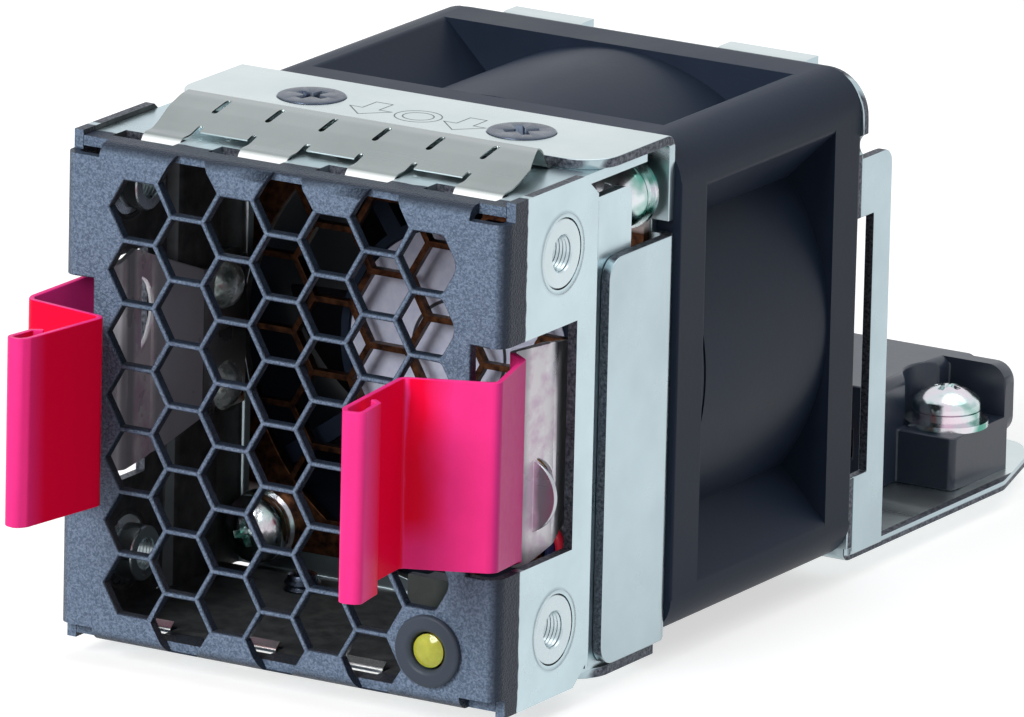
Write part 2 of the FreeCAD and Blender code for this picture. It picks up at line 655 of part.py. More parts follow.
# ---- latches ------------------------------------------------------------------------------------
def latch_line(side):
    """Centre line of a latch strip from its root to the hem, with the bend radius at each corner.

    Both are given as seen on the +X side; the -X latch is shorter in the hand and its leg stands closer in.
    """
    leaf = [V(PAD_X, LATCH_END, 0), V(PAD_X, 12.0, 0), V(HALF_W - 1.5, 10.4, 0), V(HALF_W - 2.35, 5.3, 0),
            V(HALF_W - 0.55, 4.1, 0)]
    if side > 0:
        hand = [V(HALF_W + 1.45, -2.95, 0), V(HALF_W - 5.35, -5.75, 0),
                V(HALF_W - 4.35, HANDLE_FRONT + 1.06, 0), V(HALF_W - 3.8, HANDLE_FRONT + 0.16, 0),
                V(HALF_W - 2.5, HANDLE_FRONT + 0.46, 0), V(HALF_W - 3.0, HANDLE_FRONT + 3.66, 0),
                V(HALF_W - 3.85, HANDLE_FRONT + 4.26, 0)]
    else:
        hand = [V(HALF_W + 1.45, -2.7, 0), V(HALF_W - 6.35, -4.0, 0), V(HALF_W - 5.05, LEFT_FRONT + 0.9, 0),
                V(HALF_W - 4.6, LEFT_FRONT + 0.2, 0), V(HALF_W - 3.5, LEFT_FRONT + 0.4, 0),
                V(HALF_W - 3.95, LEFT_FRONT + 3.1, 0), V(HALF_W - 4.7, LEFT_FRONT + 3.6, 0)]
    return leaf + hand, [2.5, 1.2, 0.7, 0.7, 0.7, 0.7, 0.5, 0.5, 0.5, 0.35]


def latch_side_view():
    """Side outline of the sprung part: straight in the hand, with a skirt on the leaf, tapered to the root."""
    half = LATCH_H / 2
    front = min(HANDLE_FRONT, LEFT_FRONT) - 1
    rear = LATCH_PIVOT_Y - TOUCH / 2
    outline = [V(0, front, half), V(0, 9.6, half), V(0, rear, ROOT_HALF), V(0, rear, -ROOT_HALF),
               V(0, 11.0, -half - 0.9), V(0, 7.0, -half - LATCH_SKIRT), V(0, 5.6, -half - LATCH_SKIRT + 0.3),
               V(0, 3.9, -half - 0.9), V(0, -2.7, -half), V(0, front, -half)]
    return prism(rounded_outline(outline, [0, 0.5, 0, 0, 1.5, 0.8, 0.6, 2.0, 2.0, 0]), V(60, 0, 0))


def latch_pieces(side):
    """The sprung part of a latch and its clamped root, as on the +X side, cut apart where the strip flexes."""
    points, radii = latch_line(side)
    whole = strip_solid(points, radii, LATCH_T, -LATCH_H, LATCH_H)
    front = whole.common(latch_side_view())
    root = whole.common(block(0, 60, LATCH_PIVOT_Y + TOUCH / 2, 60, -ROOT_HALF, ROOT_HALF))
    # catch: a half-moon lanced out of the strip and bent square to it
    moon_x = HALF_W - CATCH_INSET
    behind = CATCH_Y + LATCH_T
    window = rod(V(moon_x - 3, behind + MOON_OUT - MOON_R, MOON_Z), V(1, 0, 0), MOON_R, 6)
    window = window.common(block(0, 60, behind, behind + 6, -20, 20))
    front = front.cut(window)
    disc = rod(V(moon_x + MOON_OUT - MOON_R, CATCH_Y, MOON_Z), V(0, 1, 0), MOON_R, LATCH_T)
    disc = disc.common(block(moon_x, moon_x + 10, 0, 20, -20, 20))
    front = front.fuse(disc).removeSplitter()
    holes = [rod(V(0, RIVET_Y, z), V(1, 0, 0), RIVET_R + HOLE_PLAY, 60) for z in (-RIVET_Z, RIVET_Z)]
    return front, root.cut(holes)


def turned_about_y(shape):
    """To the -X side: half a turn about the tray's long axis."""
    copy = shape.copy()
    copy.rotate(V(0, 0, 0), V(0, 1, 0), 180)
    return copy


def latch_rivets():
    """Dome head rivets that hold the latch roots to the joggled tabs."""
    rivets = []
    outer = HALF_W - SHEET - TOUCH
    inner = outer - SHEET - TOUCH - LATCH_T
    for z in (-RIVET_Z, RIVET_Z):
        shank = rod(V(inner, RIVET_Y, z), V(1, 0, 0), RIVET_R, outer - inner)
        head = Part.makeSphere(2 * RIVET_HEAD, V(inner + RIVET_HEAD, RIVET_Y, z))
        head = head.common(block(inner - 5, inner, RIVET_Y - 5, RIVET_Y + 5, z - 5, z + 5))
        rivet = shank.fuse(head).removeSplitter()
        rivets += [rivet, mirror_x(rivet)]
    return Part.makeCompound(rivets)


# ---- fan bracket --------------------------------------------------------------------------------
def fan_corners():
    for x in (-HALF_HOLES, HALF_HOLES):
        for z in (-HALF_HOLES, HALF_HOLES):
            yield x, z


def lane_x(lane):
    return LANE_X + WIRE_STEP * lane


def wire_notch(y0, y1, first, last, bottom):
    """Opening for the wires in the given lanes, from the given height up to just over the wires."""
    side = WIRE_R + NOTCH_PLAY
    return block(lane_x(first) - side, lane_x(last) + side, y0, y1, bottom, WIRE_Z + side)


def fan_bracket():
    """Plate in front of the fan with top and bottom flanges and side wings, all reaching forwards."""
    depth = BRACKET_REAR - TOP_PLATE_FRONT
    wing_top = HALF_H - WING_UP
    wing_bottom = WING_DOWN - HALF_H
    plates = pan(2 * (HALF_W - TOP_PLATE_INSET), 2 * PLATE_Z, depth, "x")
    wings = pan(COVER_W, COVER_H, BRACKET_REAR - WING_FRONT, "z")
    for piece in (plates, wings):
        piece.rotate(V(0, 0, 0), V(0, 0, 1), 180)
        piece.translate(V(0, BRACKET_REAR, 0))
    plates = round_edges(plates, TOP_PLATE_ROUND, lambda e: abs(e.CenterOfMass.y - TOP_PLATE_FRONT) < 1e-3
                         and runs_along(e, V(0, 0, 1)))
    wings = wings.common(block(-HALF_W - 1, HALF_W + 1, 0, 40, wing_bottom, wing_top))
    wings = round_edges(wings, 1.8, lambda e: abs(e.CenterOfMass.y - WING_FRONT) < 1e-3
                        and runs_along(e, V(1, 0, 0)))
    web_half = HALF_W - WEB_INSET
    web = block(-web_half, web_half, BRACKET_FRONT, BRACKET_REAR, -PLATE_Z + BEND, PLATE_Z - BEND)
    edge_trim = []
    for sign in (-1, 1):
        x0, x1 = sorted((sign * (HALF_W - SHEET - 1.1), sign * (HALF_W + 5)))
        edge_trim.append(block(x0, x1, BRACKET_REAR - BEND - 0.3, 40, wing_top, wing_top + 1.0))
        edge_trim.append(block(x0, x1, BRACKET_REAR - BEND - 0.3, 40, wing_bottom - 1.0, wing_bottom))
    bracket = plates.fuse([wings, web]).removeSplitter().cut(edge_trim)
    cuts = [rod(V(0, 0, 0), V(0, 1, 0), BORE_R, 60)]
    cuts += [rod(V(x, 0, z), V(0, 1, 0), FAN_HOLE_R, 60) for x, z in fan_corners()]
    cuts.append(wire_notch(BRACKET_FRONT - 1, BRACKET_REAR + 1, FAN_WIRES, FAN_WIRES + LED_WIRES - 1,
                           WIRE_Z - WIRE_R - NOTCH_PLAY))
    for x in (-COVER_SCREW_X, COVER_SCREW_X):
        for sign in (-1, 1):
            up = V(0, 0, sign)
            cuts.append(rod(V(x, COVER_SCREW_Y, sign * (FLANGE_Z - 1)), up, SCREW_R + SCREW_PLAY, 5))
            cuts.append(Part.makeCone(SCREW_R + SCREW_PLAY, CSK_R + 0.05, CSK_DEPTH,
                                      V(x, COVER_SCREW_Y, sign * (PLATE_Z - CSK_DEPTH)), up))
    return bracket.cut(cuts)


def cover_screws():
    """Four countersunk screws through the bracket's flanges into the cover's tapped flanges."""
    y = COVER_SCREW_Y
    screws = []
    for x in (-COVER_SCREW_X, COVER_SCREW_X):
        for sign in (-1, 1):
            top = V(x, y, sign * PLATE_Z)
            down = V(0, 0, -sign)
            head = Part.makeCone(CSK_R, SCREW_R, CSK_DEPTH, top, down)
            rim = rod(top - down * 0.12, down, CSK_R, 0.12)
            shank = rod(top + down * CSK_DEPTH, down, SCREW_R - HOLE_PLAY, 2 * SHEET + 1.0)
            drive = [block(x - 1.6, x + 1.6, y - 0.3, y + 0.3, -0.45, 0.45),
                     block(x - 0.3, x + 0.3, y - 1.6, y + 1.6, -0.45, 0.45)]
            for bar in drive:
                bar.translate(V(0, 0, sign * PLATE_Z))
            screws.append(fuse_all([head, rim, shank]).cut(drive))
    return Part.makeCompound(screws)


def fan_guard():
    """Honeycomb guard plate clamped between the fan screws and the bracket."""
    half = HALF_HOLES + GUARD_EDGE
    plate = block(-half, half, GUARD_FRONT, BRACKET_FRONT, -half, half)
    plate = round_edges(plate, 2.0, lambda e: runs_along(e, V(0, 1, 0)))
    step = GUARD_PITCH * math.sqrt(3) / 2
    limit = BORE_R - 0.8
    disc = rod(V(0, 0, 0), V(0, 1, 0), limit, 60)
    columns = int(limit / step) + 1
    rows = int(limit / GUARD_PITCH) + 2
    cells = []
    for column in range(-columns, columns + 1):
        for row in range(-rows, rows + 1):
            x = column * step
            z = (row + (column % 2) / 2) * GUARD_PITCH
            away = math.hypot(x, z)
            if away < limit + 0.6:
                cell = hexagon(x, z, GUARD_PITCH - GUARD_RIB, GUARD_FRONT - 1, BRACKET_FRONT + 1)
                cells.append(cell.common(disc) if away > limit - GUARD_PITCH * 0.6 else cell)
    holes = [rod(V(x, 0, z), V(0, 1, 0), FAN_HOLE_R, 60) for x, z in fan_corners()]
    return plate.cut(cells + holes)


def pan_screw(point, into, length, radius=PAN_R):
    """Pan head screw: point is the middle of the bearing face under the head."""
    out = into * -1
    head = rod(point, out, radius, PAN_H * 0.45)
    dome = Part.makeSphere(radius * 1.35, point - out * (radius * 1.35 - PAN_H))
    dome = dome.common(rod(point, out, radius, PAN_H + 1))
    solid = fuse_all([head, dome, rod(point, into, SCREW_R - HOLE_PLAY, length)])
    across = V(1, 0, 0)
    other = into.cross(across)
    for way, cross_way in ((across, other), (other, across)):
        corner = point + out * (PAN_H - 0.9) - way * 1.5 - cross_way * 0.28
        a = corner
        b = corner + way * 3.0
        c = b + cross_way * 0.56
        d = corner + cross_way * 0.56
        solid = solid.cut(prism(Part.makePolygon([a, b, c, d, a]), out * 2))
    return solid


def fan_screws():
    under_head = GUARD_FRONT - WASHER_T - SPRING_T
    reach = FAN_FRONT + FLANGE - 0.3 - under_head
    return Part.makeCompound([pan_screw(V(x, under_head, z), V(0, 1, 0), reach) for x, z in fan_corners()])


def split_washer(point, axis):
    washer = ring(point, axis, SPRING_R, SCREW_R + SCREW_PLAY, SPRING_T)
    side = V(0, 0, 1) if abs(axis.z) < 0.5 else V(0, 1, 0)
    gap = rod(point + side * 2.2 - axis, axis, 0.28, SPRING_T + 2)
    return washer.cut(gap)


def fan_spring_washers():
    start = GUARD_FRONT - WASHER_T - SPRING_T
    return Part.makeCompound([split_washer(V(x, start, z), V(0, 1, 0)) for x, z in fan_corners()])


def fan_flat_washers():
    start = GUARD_FRONT - WASHER_T
    return Part.makeCompound([ring(V(x, start, z), V(0, 1, 0), FAN_WASHER_R, SCREW_R + SCREW_PLAY, WASHER_T)
                              for x, z in fan_corners()])


# ---- fan ----------------------------------------------------------------------------------------


def polar(radius, degrees, y=0.0):
    return V(radius * math.cos(math.radians(degrees)), y, radius * math.sin(math.radians(degrees)))


def corner_rail(y0, y1, sx, sz):
    """Square rail at one corner of the fan, with rounded edges towards the windows."""
    inner = HALF_FAN - RAIL
    sink = HALF_FAN - (BORE_R + inner - HALF_FAN) / math.sqrt(2)
    outline = [V(HALF_FAN, y0, inner), V(HALF_FAN, y0, HALF_FAN), V(inner, y0, HALF_FAN),
               V(inner - sink, y0, HALF_FAN - sink), V(HALF_FAN - sink, y0, inner - sink)]
    rail = prism(Part.makePolygon(outline + outline[:1]), V(0, y1 - y0, 0))
    rail = round_edges(rail, RAIL_ROUND, lambda e: runs_along(e, V(0, 1, 0))
                       and 1 < abs(e.CenterOfMass.x - e.CenterOfMass.z)
                       and max(e.CenterOfMass.x, e.CenterOfMass.z) > HALF_FAN - 0.1)
    rail.rotate(V(0, 0, 0), V(0, 1, 0), {(1, 1): 0, (1, -1): 90, (-1, -1): 180, (-1, 1): 270}[sx, sz])
    return rail


def fan_frame():
    """Moulded frame: two square flanges, corner rails, the duct, and the motor base on four struts."""
    along = V(0, 1, 0)
    body = block(-HALF_FAN, HALF_FAN, FAN_FRONT, FAN_REAR, -HALF_FAN, HALF_FAN)
    body = round_edges(body, FAN_CORNER, lambda e: runs_along(e, along))
    duct_r = BORE_R + DUCT_WALL
    y0 = FAN_FRONT + FLANGE
    y1 = FAN_REAR - FLANGE
    lanes = FAN_WIRES + LED_WIRES - 1
    keep = [rod(V(0, y0, 0), along, duct_r, y1 - y0)]
    keep += [corner_rail(y0, y1, sx, sz) for sx in (-1, 1) for sz in (-1, 1)]
    waist = block(-HALF_FAN - 9, HALF_FAN + 9, y0, y1, -HALF_FAN - 9, HALF_FAN + 9).cut(keep)
    groove = ring(V(0, y0 + GROOVE_GAP, 0), along, duct_r + 0.5, duct_r - GROOVE_DEEP, GROOVE_W)
    frame = body.cut([waist, groove.cut(keep[1:])])
    flare = Part.makeCone(BORE_R, BORE_R + 0.7, 2.5, V(0, FAN_REAR - 2.5, 0), along)
    frame = frame.cut([rod(V(0, FAN_FRONT - 1, 0), along, BORE_R, FAN_DEPTH + 2), flare])
    holes = [rod(V(x, FAN_FRONT - 1, z), along, FAN_HOLE_R, FAN_DEPTH + 2) for x, z in fan_corners()]
    frame = frame.cut(holes)
    # motor base and struts
    front = FAN_FRONT + BASE_LIP
    base = rod(V(0, front, 0), along, HUB_R, STATOR_BACK - front)
    seat = ring(V(0, STATOR_BACK - 0.2, 0), along, BEARING_R + BEARING_WALL, BEARING_R, TUBE_LEN)
    channel_half = (FAN_WIRES * WIRE_STEP + 0.2) / 2
    struts = []
    for angle in STRUT_ANGLES + (LEAD_ANGLE,):
        half = STRUT_W / 2 if angle != LEAD_ANGLE else channel_half + 0.5
        bar = block(HUB_R - 1, BORE_R + 0.4, front + 0.2, STATOR_BACK, -half, half)
        bar.rotate(V(0, 0, 0), along, -angle)
        struts.append(bar)
    frame = frame.fuse([base, seat] + struts)
    channel = block(HUB_R - 2.6, BORE_R - 0.2, FAN_FRONT - 1, CHANNEL_FLOOR, -channel_half, channel_half)
    channel.rotate(V(0, 0, 0), along, -LEAD_ANGLE)
    side = WIRE_R + 0.15
    slot = block(lane_x(0) - side, lane_x(FAN_WIRES - 1) + side, FAN_FRONT - 1, CHANNEL_FLOOR, -HALF_FAN - 1,
                 4.9 - BORE_R)
    cuts = [rod(V(0, FAN_FRONT - 1, 0), along, HUB_R - 0.7, 1 + BASE_LIP + 0.2), channel, slot,
            rod(V(0, STATOR_BACK - 1, 0), along, BEARING_R, 5)]
    for y0, y1 in ((FAN_FRONT - 1, FAN_FRONT + FLANGE + 1), (FAN_REAR - FLANGE - 1, FAN_REAR + 1)):
        cuts.append(wire_notch(y0, y1, 0, lanes, -HALF_FAN - 1))
    return frame.cut(cuts).removeSplitter()


def blade_section(x, pitch, chord):
    """Arched aerofoil outline in the plane X = x: nose and tail are short straight edges."""
    sway = math.cos(math.radians(pitch))
    rise = math.sin(math.radians(pitch))
    bow = 0.09 * chord
    sides = []
    for side in (1, -1):
        points = []
        for u in (-1.0, -0.5, 0.0, 0.5, 1.0):
            arch = bow * (1 - u * u) + side * BLADE_T / 2 * (1 - 0.7 * u * u)
            run = u * chord / 2
            points.append(V(x, BLADE_MID + run * rise - arch * sway, run * sway + arch * rise))
        sides.append(points if side > 0 else points[::-1])
    upper = Part.BSplineCurve()
    upper.interpolate(sides[0])
    lower = Part.BSplineCurve()
    lower.interpolate(sides[1])
    nose = Part.LineSegment(sides[0][-1], sides[1][0]).toShape()
    tail = Part.LineSegment(sides[1][-1], sides[0][0]).toShape()
    return Part.Wire([upper.toShape(), nose, lower.toShape(), tail])


def blade():
    """Twisted blade: a loft from inside the hub to beyond the tip, trimmed to the tip cylinder."""
    span = CUP_REAR - 0.4 - (CUP_FRONT + 1.4)
    sections = []
    for x, pitch in ((HUB_R - 2.0, 56.0), ((HUB_R + BORE_R) / 2, 46.0), (BORE_R + 0.8, 38.0)):
        chord = 0.95 * span / math.sin(math.radians(pitch))
        sections.append(blade_section(x, pitch, chord * (1.0 if x < BORE_R else 0.86)))
    solid = Part.makeLoft(sections, True, False)
    tip = BORE_R - BLADE_TIP_GAP
    return solid.common(rod(V(0, FAN_FRONT, 0), V(0, 1, 0), tip, FAN_DEPTH))


def impeller():
    """Hub cup with its blades, open towards the motor base."""
    along = V(0, 1, 0)
    cup = rod(V(0, CUP_FRONT, 0), along, HUB_R, CUP_REAR - CUP_FRONT)
    cup = round_edges(cup, HUB_EDGE, lambda e: abs(e.CenterOfMass.y - CUP_REAR) < 1e-3 and e.Length > 5)
    hollow = rod(V(0, CUP_FRONT - 1, 0), along, HUB_R - CUP_T, CUP_REAR - CUP_FRONT + 1 - CUP_FLOOR)
    cup = cup.cut([hollow, rod(V(0, CUP_REAR - 3, 0), along, SHAFT_R + HOLE_PLAY, 5)])
    wheel = cup
    master = blade().cut(hollow)
    for k in range(BLADES):
        copy = master.copy()
        copy.rotate(V(0, 0, 0), along, 360.0 / BLADES * k)
        wheel = wheel.fuse(copy)
    return wheel


def rotor_yoke():
    """Pressed steel cup inside the hub; it closes the magnet's field and carries the shaft."""
    along = V(0, 1, 0)
    back = CUP_REAR - CUP_FLOOR
    cup = rod(V(0, CUP_FRONT + 0.4, 0), along, YOKE_R, back - CUP_FRONT - 0.4)
    hollow = rod(V(0, CUP_FRONT - 1, 0), along, YOKE_R - YOKE_T, back - YOKE_T - CUP_FRONT + 1)
    return cup.cut([hollow, rod(V(0, back - 3, 0), along, SHAFT_R + HOLE_PLAY, 5)])


def rotor_magnet():
    return ring(V(0, CUP_FRONT + 1.0, 0), V(0, 1, 0), MAGNET_R, MAGNET_R - MAGNET_T, MAGNET_LEN)


def rotor_shaft():
    """Shaft with the groove for its retaining clip near the front end."""
    start = STATOR_BACK + 0.1
    shaft = rod(V(0, start, 0), V(0, 1, 0), SHAFT_R, CUP_REAR - 0.3 - start)
    groove = ring(V(0, start + 0.15, 0), V(0, 1, 0), SHAFT_R + 1, SHAFT_R - 0.2, 0.3)
    return shaft.cut(groove)


def shaft_clip():
    start = STATOR_BACK + 0.1 + 0.15
    clip = ring(V(0, start + 0.03, 0), V(0, 1, 0), SHAFT_R + 0.75, SHAFT_R - 0.2, 0.24)
    return clip.cut(block(-0.5, 0.5, start - 1, start + 2, 0, 5))


def bearing_races(inner_ring):
    """Inner or outer races of both shielded ball bearings; the shields belong to the outer races."""
    along = V(0, 1, 0)
    track = (SHAFT_R + BEARING_R) / 2
    races = []
    for y in BEARING_Y:
        if inner_ring:
            races.append(ring(V(0, y, 0), along, track - 0.3, SHAFT_R + 0.01, BEARING_W))
        else:
            race = ring(V(0, y, 0), along, BEARING_R - 0.01, track + 0.3, BEARING_W)
            for start in (y + 0.15, y + BEARING_W - 0.35):
                race = race.fuse(ring(V(0, start, 0), along, track + 0.4, track - 0.3 + TOUCH, 0.2))
            races.append(race)
    return Part.makeCompound(races)


def stator_core():
    """Four-pole lamination stack pressed on the bearing tube."""
    along = V(0, 1, 0)
    start = V(0, CORE_Y0, 0)
    hub = rod(start, along, CORE_HUB, CORE_LEN)
    parts = [hub]
    for k in range(POLES):
        tooth = block(0, CORE_R - 0.6, CORE_Y0, CORE_Y0 + CORE_LEN, -0.8, 0.8)
        tooth.rotate(V(0, 0, 0), along, 360.0 / POLES * k)
        shoe = ring(start, along, CORE_R, CORE_R - 0.8, CORE_LEN)
        wedge = [V(0, CORE_Y0, 0), polar(20, -36, CORE_Y0), polar(20, 36, CORE_Y0)]
        shoe = shoe.common(prism(Part.makePolygon(wedge + wedge[:1]), V(0, CORE_LEN, 0)))
        shoe.rotate(V(0, 0, 0), along, 360.0 / POLES * k)
        parts += [tooth, shoe]
    core = fuse_all(parts)
    return core.cut(rod(start - along, along, BEARING_R + BEARING_WALL + HOLE_PLAY, CORE_LEN + 2))


def stator_coils():
    """One winding round each tooth, a rounded tube of copper wire."""
    coils = []
    for k in range(POLES):
        outer = block(CORE_HUB + 0.2, CORE_R - 1.25, CORE_Y0 - COIL_LEN, CORE_Y0 + CORE_LEN + COIL_LEN,
                      -COIL_HALF, COIL_HALF)
        outer = round_edges(outer, 0.9, lambda e: runs_along(e, V(1, 0, 0)))
        inner = block(0, CORE_R, CORE_Y0 - TOUCH, CORE_Y0 + CORE_LEN + TOUCH, -0.8 - TOUCH, 0.8 + TOUCH)
        coil = outer.cut(inner)
        coil.rotate(V(0, 0, 0), V(0, 1, 0), 360.0 / POLES * k)
        coils.append(coil)
    return Part.makeCompound(coils)


def motor_board():
    """Ring-shaped driver board behind the motor base, with its chip and Hall sensor."""
    along = V(0, 1, 0)
    board = ring(V(0, STATOR_BACK + 1.5, 0), along, MAGNET_R - MAGNET_T - 0.5,
                 BEARING_R + BEARING_WALL + HOLE_PLAY, 0.8)
    chip = block(4.4, 6.6, STATOR_BACK + 2.29, STATOR_BACK + 3.0, -1.5, 1.5)
    return board.fuse(chip)


def hub_label():
    floor = FAN_FRONT + BASE_LIP + 0.2
    return rod(V(0, floor - 0.02 - LABEL_T, 0), V(0, 1, 0), HUB_R - LABEL_EDGE, LABEL_T)


# ---- rear bracket and connector -----------------------------------------------------------------
def bent_plate(web_end, out, reach, x0, x1):
    """Angle of sheet in the YZ plane: up the rear plate from web_end, bent rearwards at the height out."""
    y0 = FAN_REAR
    y1 = REAR_PLATE
    up = 1 if out > 0 else -1
    line = [V(0, y0, web_end), V(0, y0, out), V(0, reach, out), V(0, reach, out - up * SHEET),
            V(0, y1, out - up * SHEET), V(0, y1, web_end)]
    solid = prism(rounded_outline(line, [0, BEND, 0, 0, BEND_INNER, 0]), V(x1 - x0, 0, 0))
    solid.translate(V(x0, 0, 0))
    return solid


def rear_bracket():
    """Plate behind the fan, a tall flange on the +X side, and a tail that carries the connector."""
    y0 = FAN_REAR
    y1 = REAR_PLATE
    half = HALF_FAN - PLATE_INSET
    plate = block(-half, half, y0, y1, TAIL_UNDER + BEND, half)
    relief_z = SIDE_TOP + RELIEF_R + 0.1
    lugs = block(-HALF_FAN - LUG_OUT, HALF_FAN + LUG_OUT, y0, y1, relief_z, half)
    lugs = round_edges(lugs, LUG_ROUND, lambda e: runs_along(e, V(0, 1, 0)) and e.CenterOfMass.z > half - 1)
    plate = round_edges(plate, LUG_ROUND, lambda e: runs_along(e, V(0, 1, 0)) and e.CenterOfMass.z > half - 1)
    # tail: bent rearwards from the plate's lower edge
    w = HALF_FAN - TAIL_INSET
    tail = bent_plate(TAIL_UNDER + 6, TAIL_UNDER, TAIL_END, -w, w)
    plan = [V(-w, y0 - 1, 0), V(w, y0 - 1, 0), V(w, TAIL_END - 11.3, 0), V(w - 2.2, TAIL_END - 3.8, 0),
            V(w - 4.6, TAIL_END, 0), V(-w + 4.6, TAIL_END, 0), V(-w + 2.2, TAIL_END - 3.8, 0),
            V(-w, TAIL_END - 11.3, 0)]
    shape = prism(rounded_outline(plan, [0, 0, 3.0, 4.0, 3.0, 3.0, 4.0, 3.0]), V(0, 0, 2 * HALF_H))
    shape.translate(V(0, 0, -2 * HALF_H + 10))
    tail = tail.common(shape)
    # side flange with its tall window at the bend
    side = [V(HALF_W - 6, y0, 0), V(HALF_W, y0, 0), V(HALF_W, SIDE_END, 0),
            V(HALF_W - SHEET, SIDE_END, 0), V(HALF_W - SHEET, y1, 0), V(HALF_W - 6, y1, 0)]
    wire = rounded_outline(side, [0, BEND, 0, 0, BEND_INNER, 0])
    flange = prism(wire, V(0, 0, SIDE_TOP - TAIL_UNDER - SIDE_GAP))
    flange.translate(V(0, 0, TAIL_UNDER + SIDE_GAP))
    flange = round_edges(flange, 1.2, lambda e: abs(e.CenterOfMass.y - SIDE_END) < 1e-3
                         and runs_along(e, V(1, 0, 0)) and e.CenterOfMass.z > 0)
    lips = [bent_plate(half - 4, half + LIP_UP, y1 + LIP_LEN, x0, x1) for x0, x1 in LIPS]
    bracket = fuse_all([plate, lugs, tail, flange] + lips)
    cuts = [rod(V(0, 0, 0), V(0, 1, 0), BORE_R + 0.3, y1 + 1)]
    cuts.append(block(HALF_W - WINDOW_IN, HALF_W + 1, y0 - 1, y1 + WINDOW_LEN, WINDOW_BOTTOM, WINDOW_TOP))
    cuts.append(rod(V(HALF_W + RELIEF_OUT, y0 - 1, relief_z), V(0, 1, 0), RELIEF_R, SIDE_LEN + 3))
    cuts += [rod(V(x, 0, z), V(0, 1, 0), FAN_HOLE_R, y1 + 1) for x, z in fan_corners()]
    cuts.append(wire_notch(y0 - 1, y1 + 0.01, 0, FAN_WIRES + LED_WIRES - 1, WIRE_Z - WIRE_R - NOTCH_PLAY))
    cuts += [rod(V(sx * EAR_SCREW_X, EAR_SCREW_Y, TAIL_UNDER - 1), V(0, 0, 1), SCREW_R, 3) for sx in (-1, 1)]
    return bracket.cut(cuts)


def rear_screws():
    """Thread-forming screws that hold the rear bracket to the fan's rear flange."""
    reach = SHEET + FLANGE - 0.3
    return Part.makeCompound([pan_screw(V(x, REAR_PLATE, z), V(0, -1, 0), reach, REAR_HEAD_R)
                              for x, z in fan_corners()])


def contact_places():
    return [(k - (CONTACTS - 1) / 2) * CONTACT_PITCH for k in range(CONTACTS)]


def connector_housing():
    """Blind-mate plug: tall block, rear wall with rounded corners, screw ears and a shrouded mouth."""
    z0 = TAIL_TOP
    z1 = TAIL_TOP + PLUG_H
    along = V(0, 1, 0)
    half = PLUG_W / 2
    ear_half = PLUG_EARS_W / 2
    wall_y = PLUG_WALL_Y
    body = block(-half, half, PLUG_FRONT, wall_y + 0.5, z0, z1)
    body = round_edges(body, 0.8, lambda e: runs_along(e, along) and e.CenterOfMass.z > z0 + 1)
    reliefs = [rod(V(sx * EAR_SCREW_X, EAR_SCREW_Y, z0 + EAR_H), V(0, 0, 1), WASHER_R + EAR_RELIEF, PLUG_H)
               for sx in (-1, 1)]
    body = body.cut(reliefs)
    ears = block(-ear_half, ear_half, EAR_FRONT, wall_y + 0.5, z0, z0 + EAR_H)
    ears = round_edges(ears, 0.6, lambda e: runs_along(e, V(0, 0, 1)) and e.CenterOfMass.y < EAR_FRONT + 1)
    wall = block(-ear_half, ear_half, wall_y, wall_y + PLUG_WALL_T, z0 + 2.6, z1)
    wall = round_edges(wall, 1.6, lambda e: runs_along(e, along))
    mouth_half = (CONTACTS - 1) / 2 * CONTACT_PITCH + MOUTH_SIDE
    rim = MOUTH_HALF + SHROUD_WALL
    shroud = block(-mouth_half - SHROUD_WALL, mouth_half + SHROUD_WALL, wall_y, SHROUD_END,
                   CONTACT_Z - rim, CONTACT_Z + rim)
    shroud = round_edges(shroud, 1.0, lambda e: runs_along(e, along))
    mouth = block(-mouth_half, mouth_half, wall_y - MOUTH_SINK, SHROUD_END + 1,
                  CONTACT_Z - MOUTH_HALF, CONTACT_Z + MOUTH_HALF)
    mouth = round_edges(mouth, 0.6, lambda e: runs_along(e, along))
    holes = [rod(V(sx * EAR_SCREW_X, EAR_SCREW_Y, z0 - 1), V(0, 0, 1), SCREW_R + SCREW_PLAY, EAR_H + 3)
             for sx in (-1, 1)]
    play = CONTACT_HALF + HOLE_PLAY
    slots = [block(x - play, x + play, PLUG_FRONT + 1, SHROUD_END, CONTACT_Z - play, CONTACT_Z + play)
             for x in contact_places()]
    entry = block(-mouth_half, mouth_half, PLUG_FRONT - 1, PLUG_FRONT + 2.0, CONTACT_Z - 1.2, CONTACT_Z + 1.2)
    return fuse_all([body, ears, wall, shroud]).cut([mouth, entry] + holes + slots)


def connector_contacts():
    """Flat blades through the housing, from the wire entry into the mouth."""
    half = CONTACT_HALF
    return Part.makeCompound([block(x - half, x + half, WIRE_END + TOUCH, SHROUD_END - MOUTH_FREE,
                                    CONTACT_Z - half, CONTACT_Z + half) for x in contact_places()])


def ear_stack(base):
    return [V(sx * EAR_SCREW_X, EAR_SCREW_Y, base) for sx in (-1, 1)]


def connector_screws():
    under = TAIL_TOP + EAR_H + WASHER_T + SPRING_T
    return Part.makeCompound([pan_screw(p, V(0, 0, -1), EAR_H + WASHER_T + SPRING_T + SHEET)
                              for p in ear_stack(under)])


def connector_washers():
    base = TAIL_TOP + EAR_H
    return Part.makeCompound([ring(p, V(0, 0, 1), WASHER_R, SCREW_R + SCREW_PLAY, WASHER_T)
                              for p in ear_stack(base)])


def connector_spring_washers():
    base = TAIL_TOP + EAR_H + WASHER_T
    return Part.makeCompound([split_washer(p, V(0, 0, 1)) for p in ear_stack(base)])


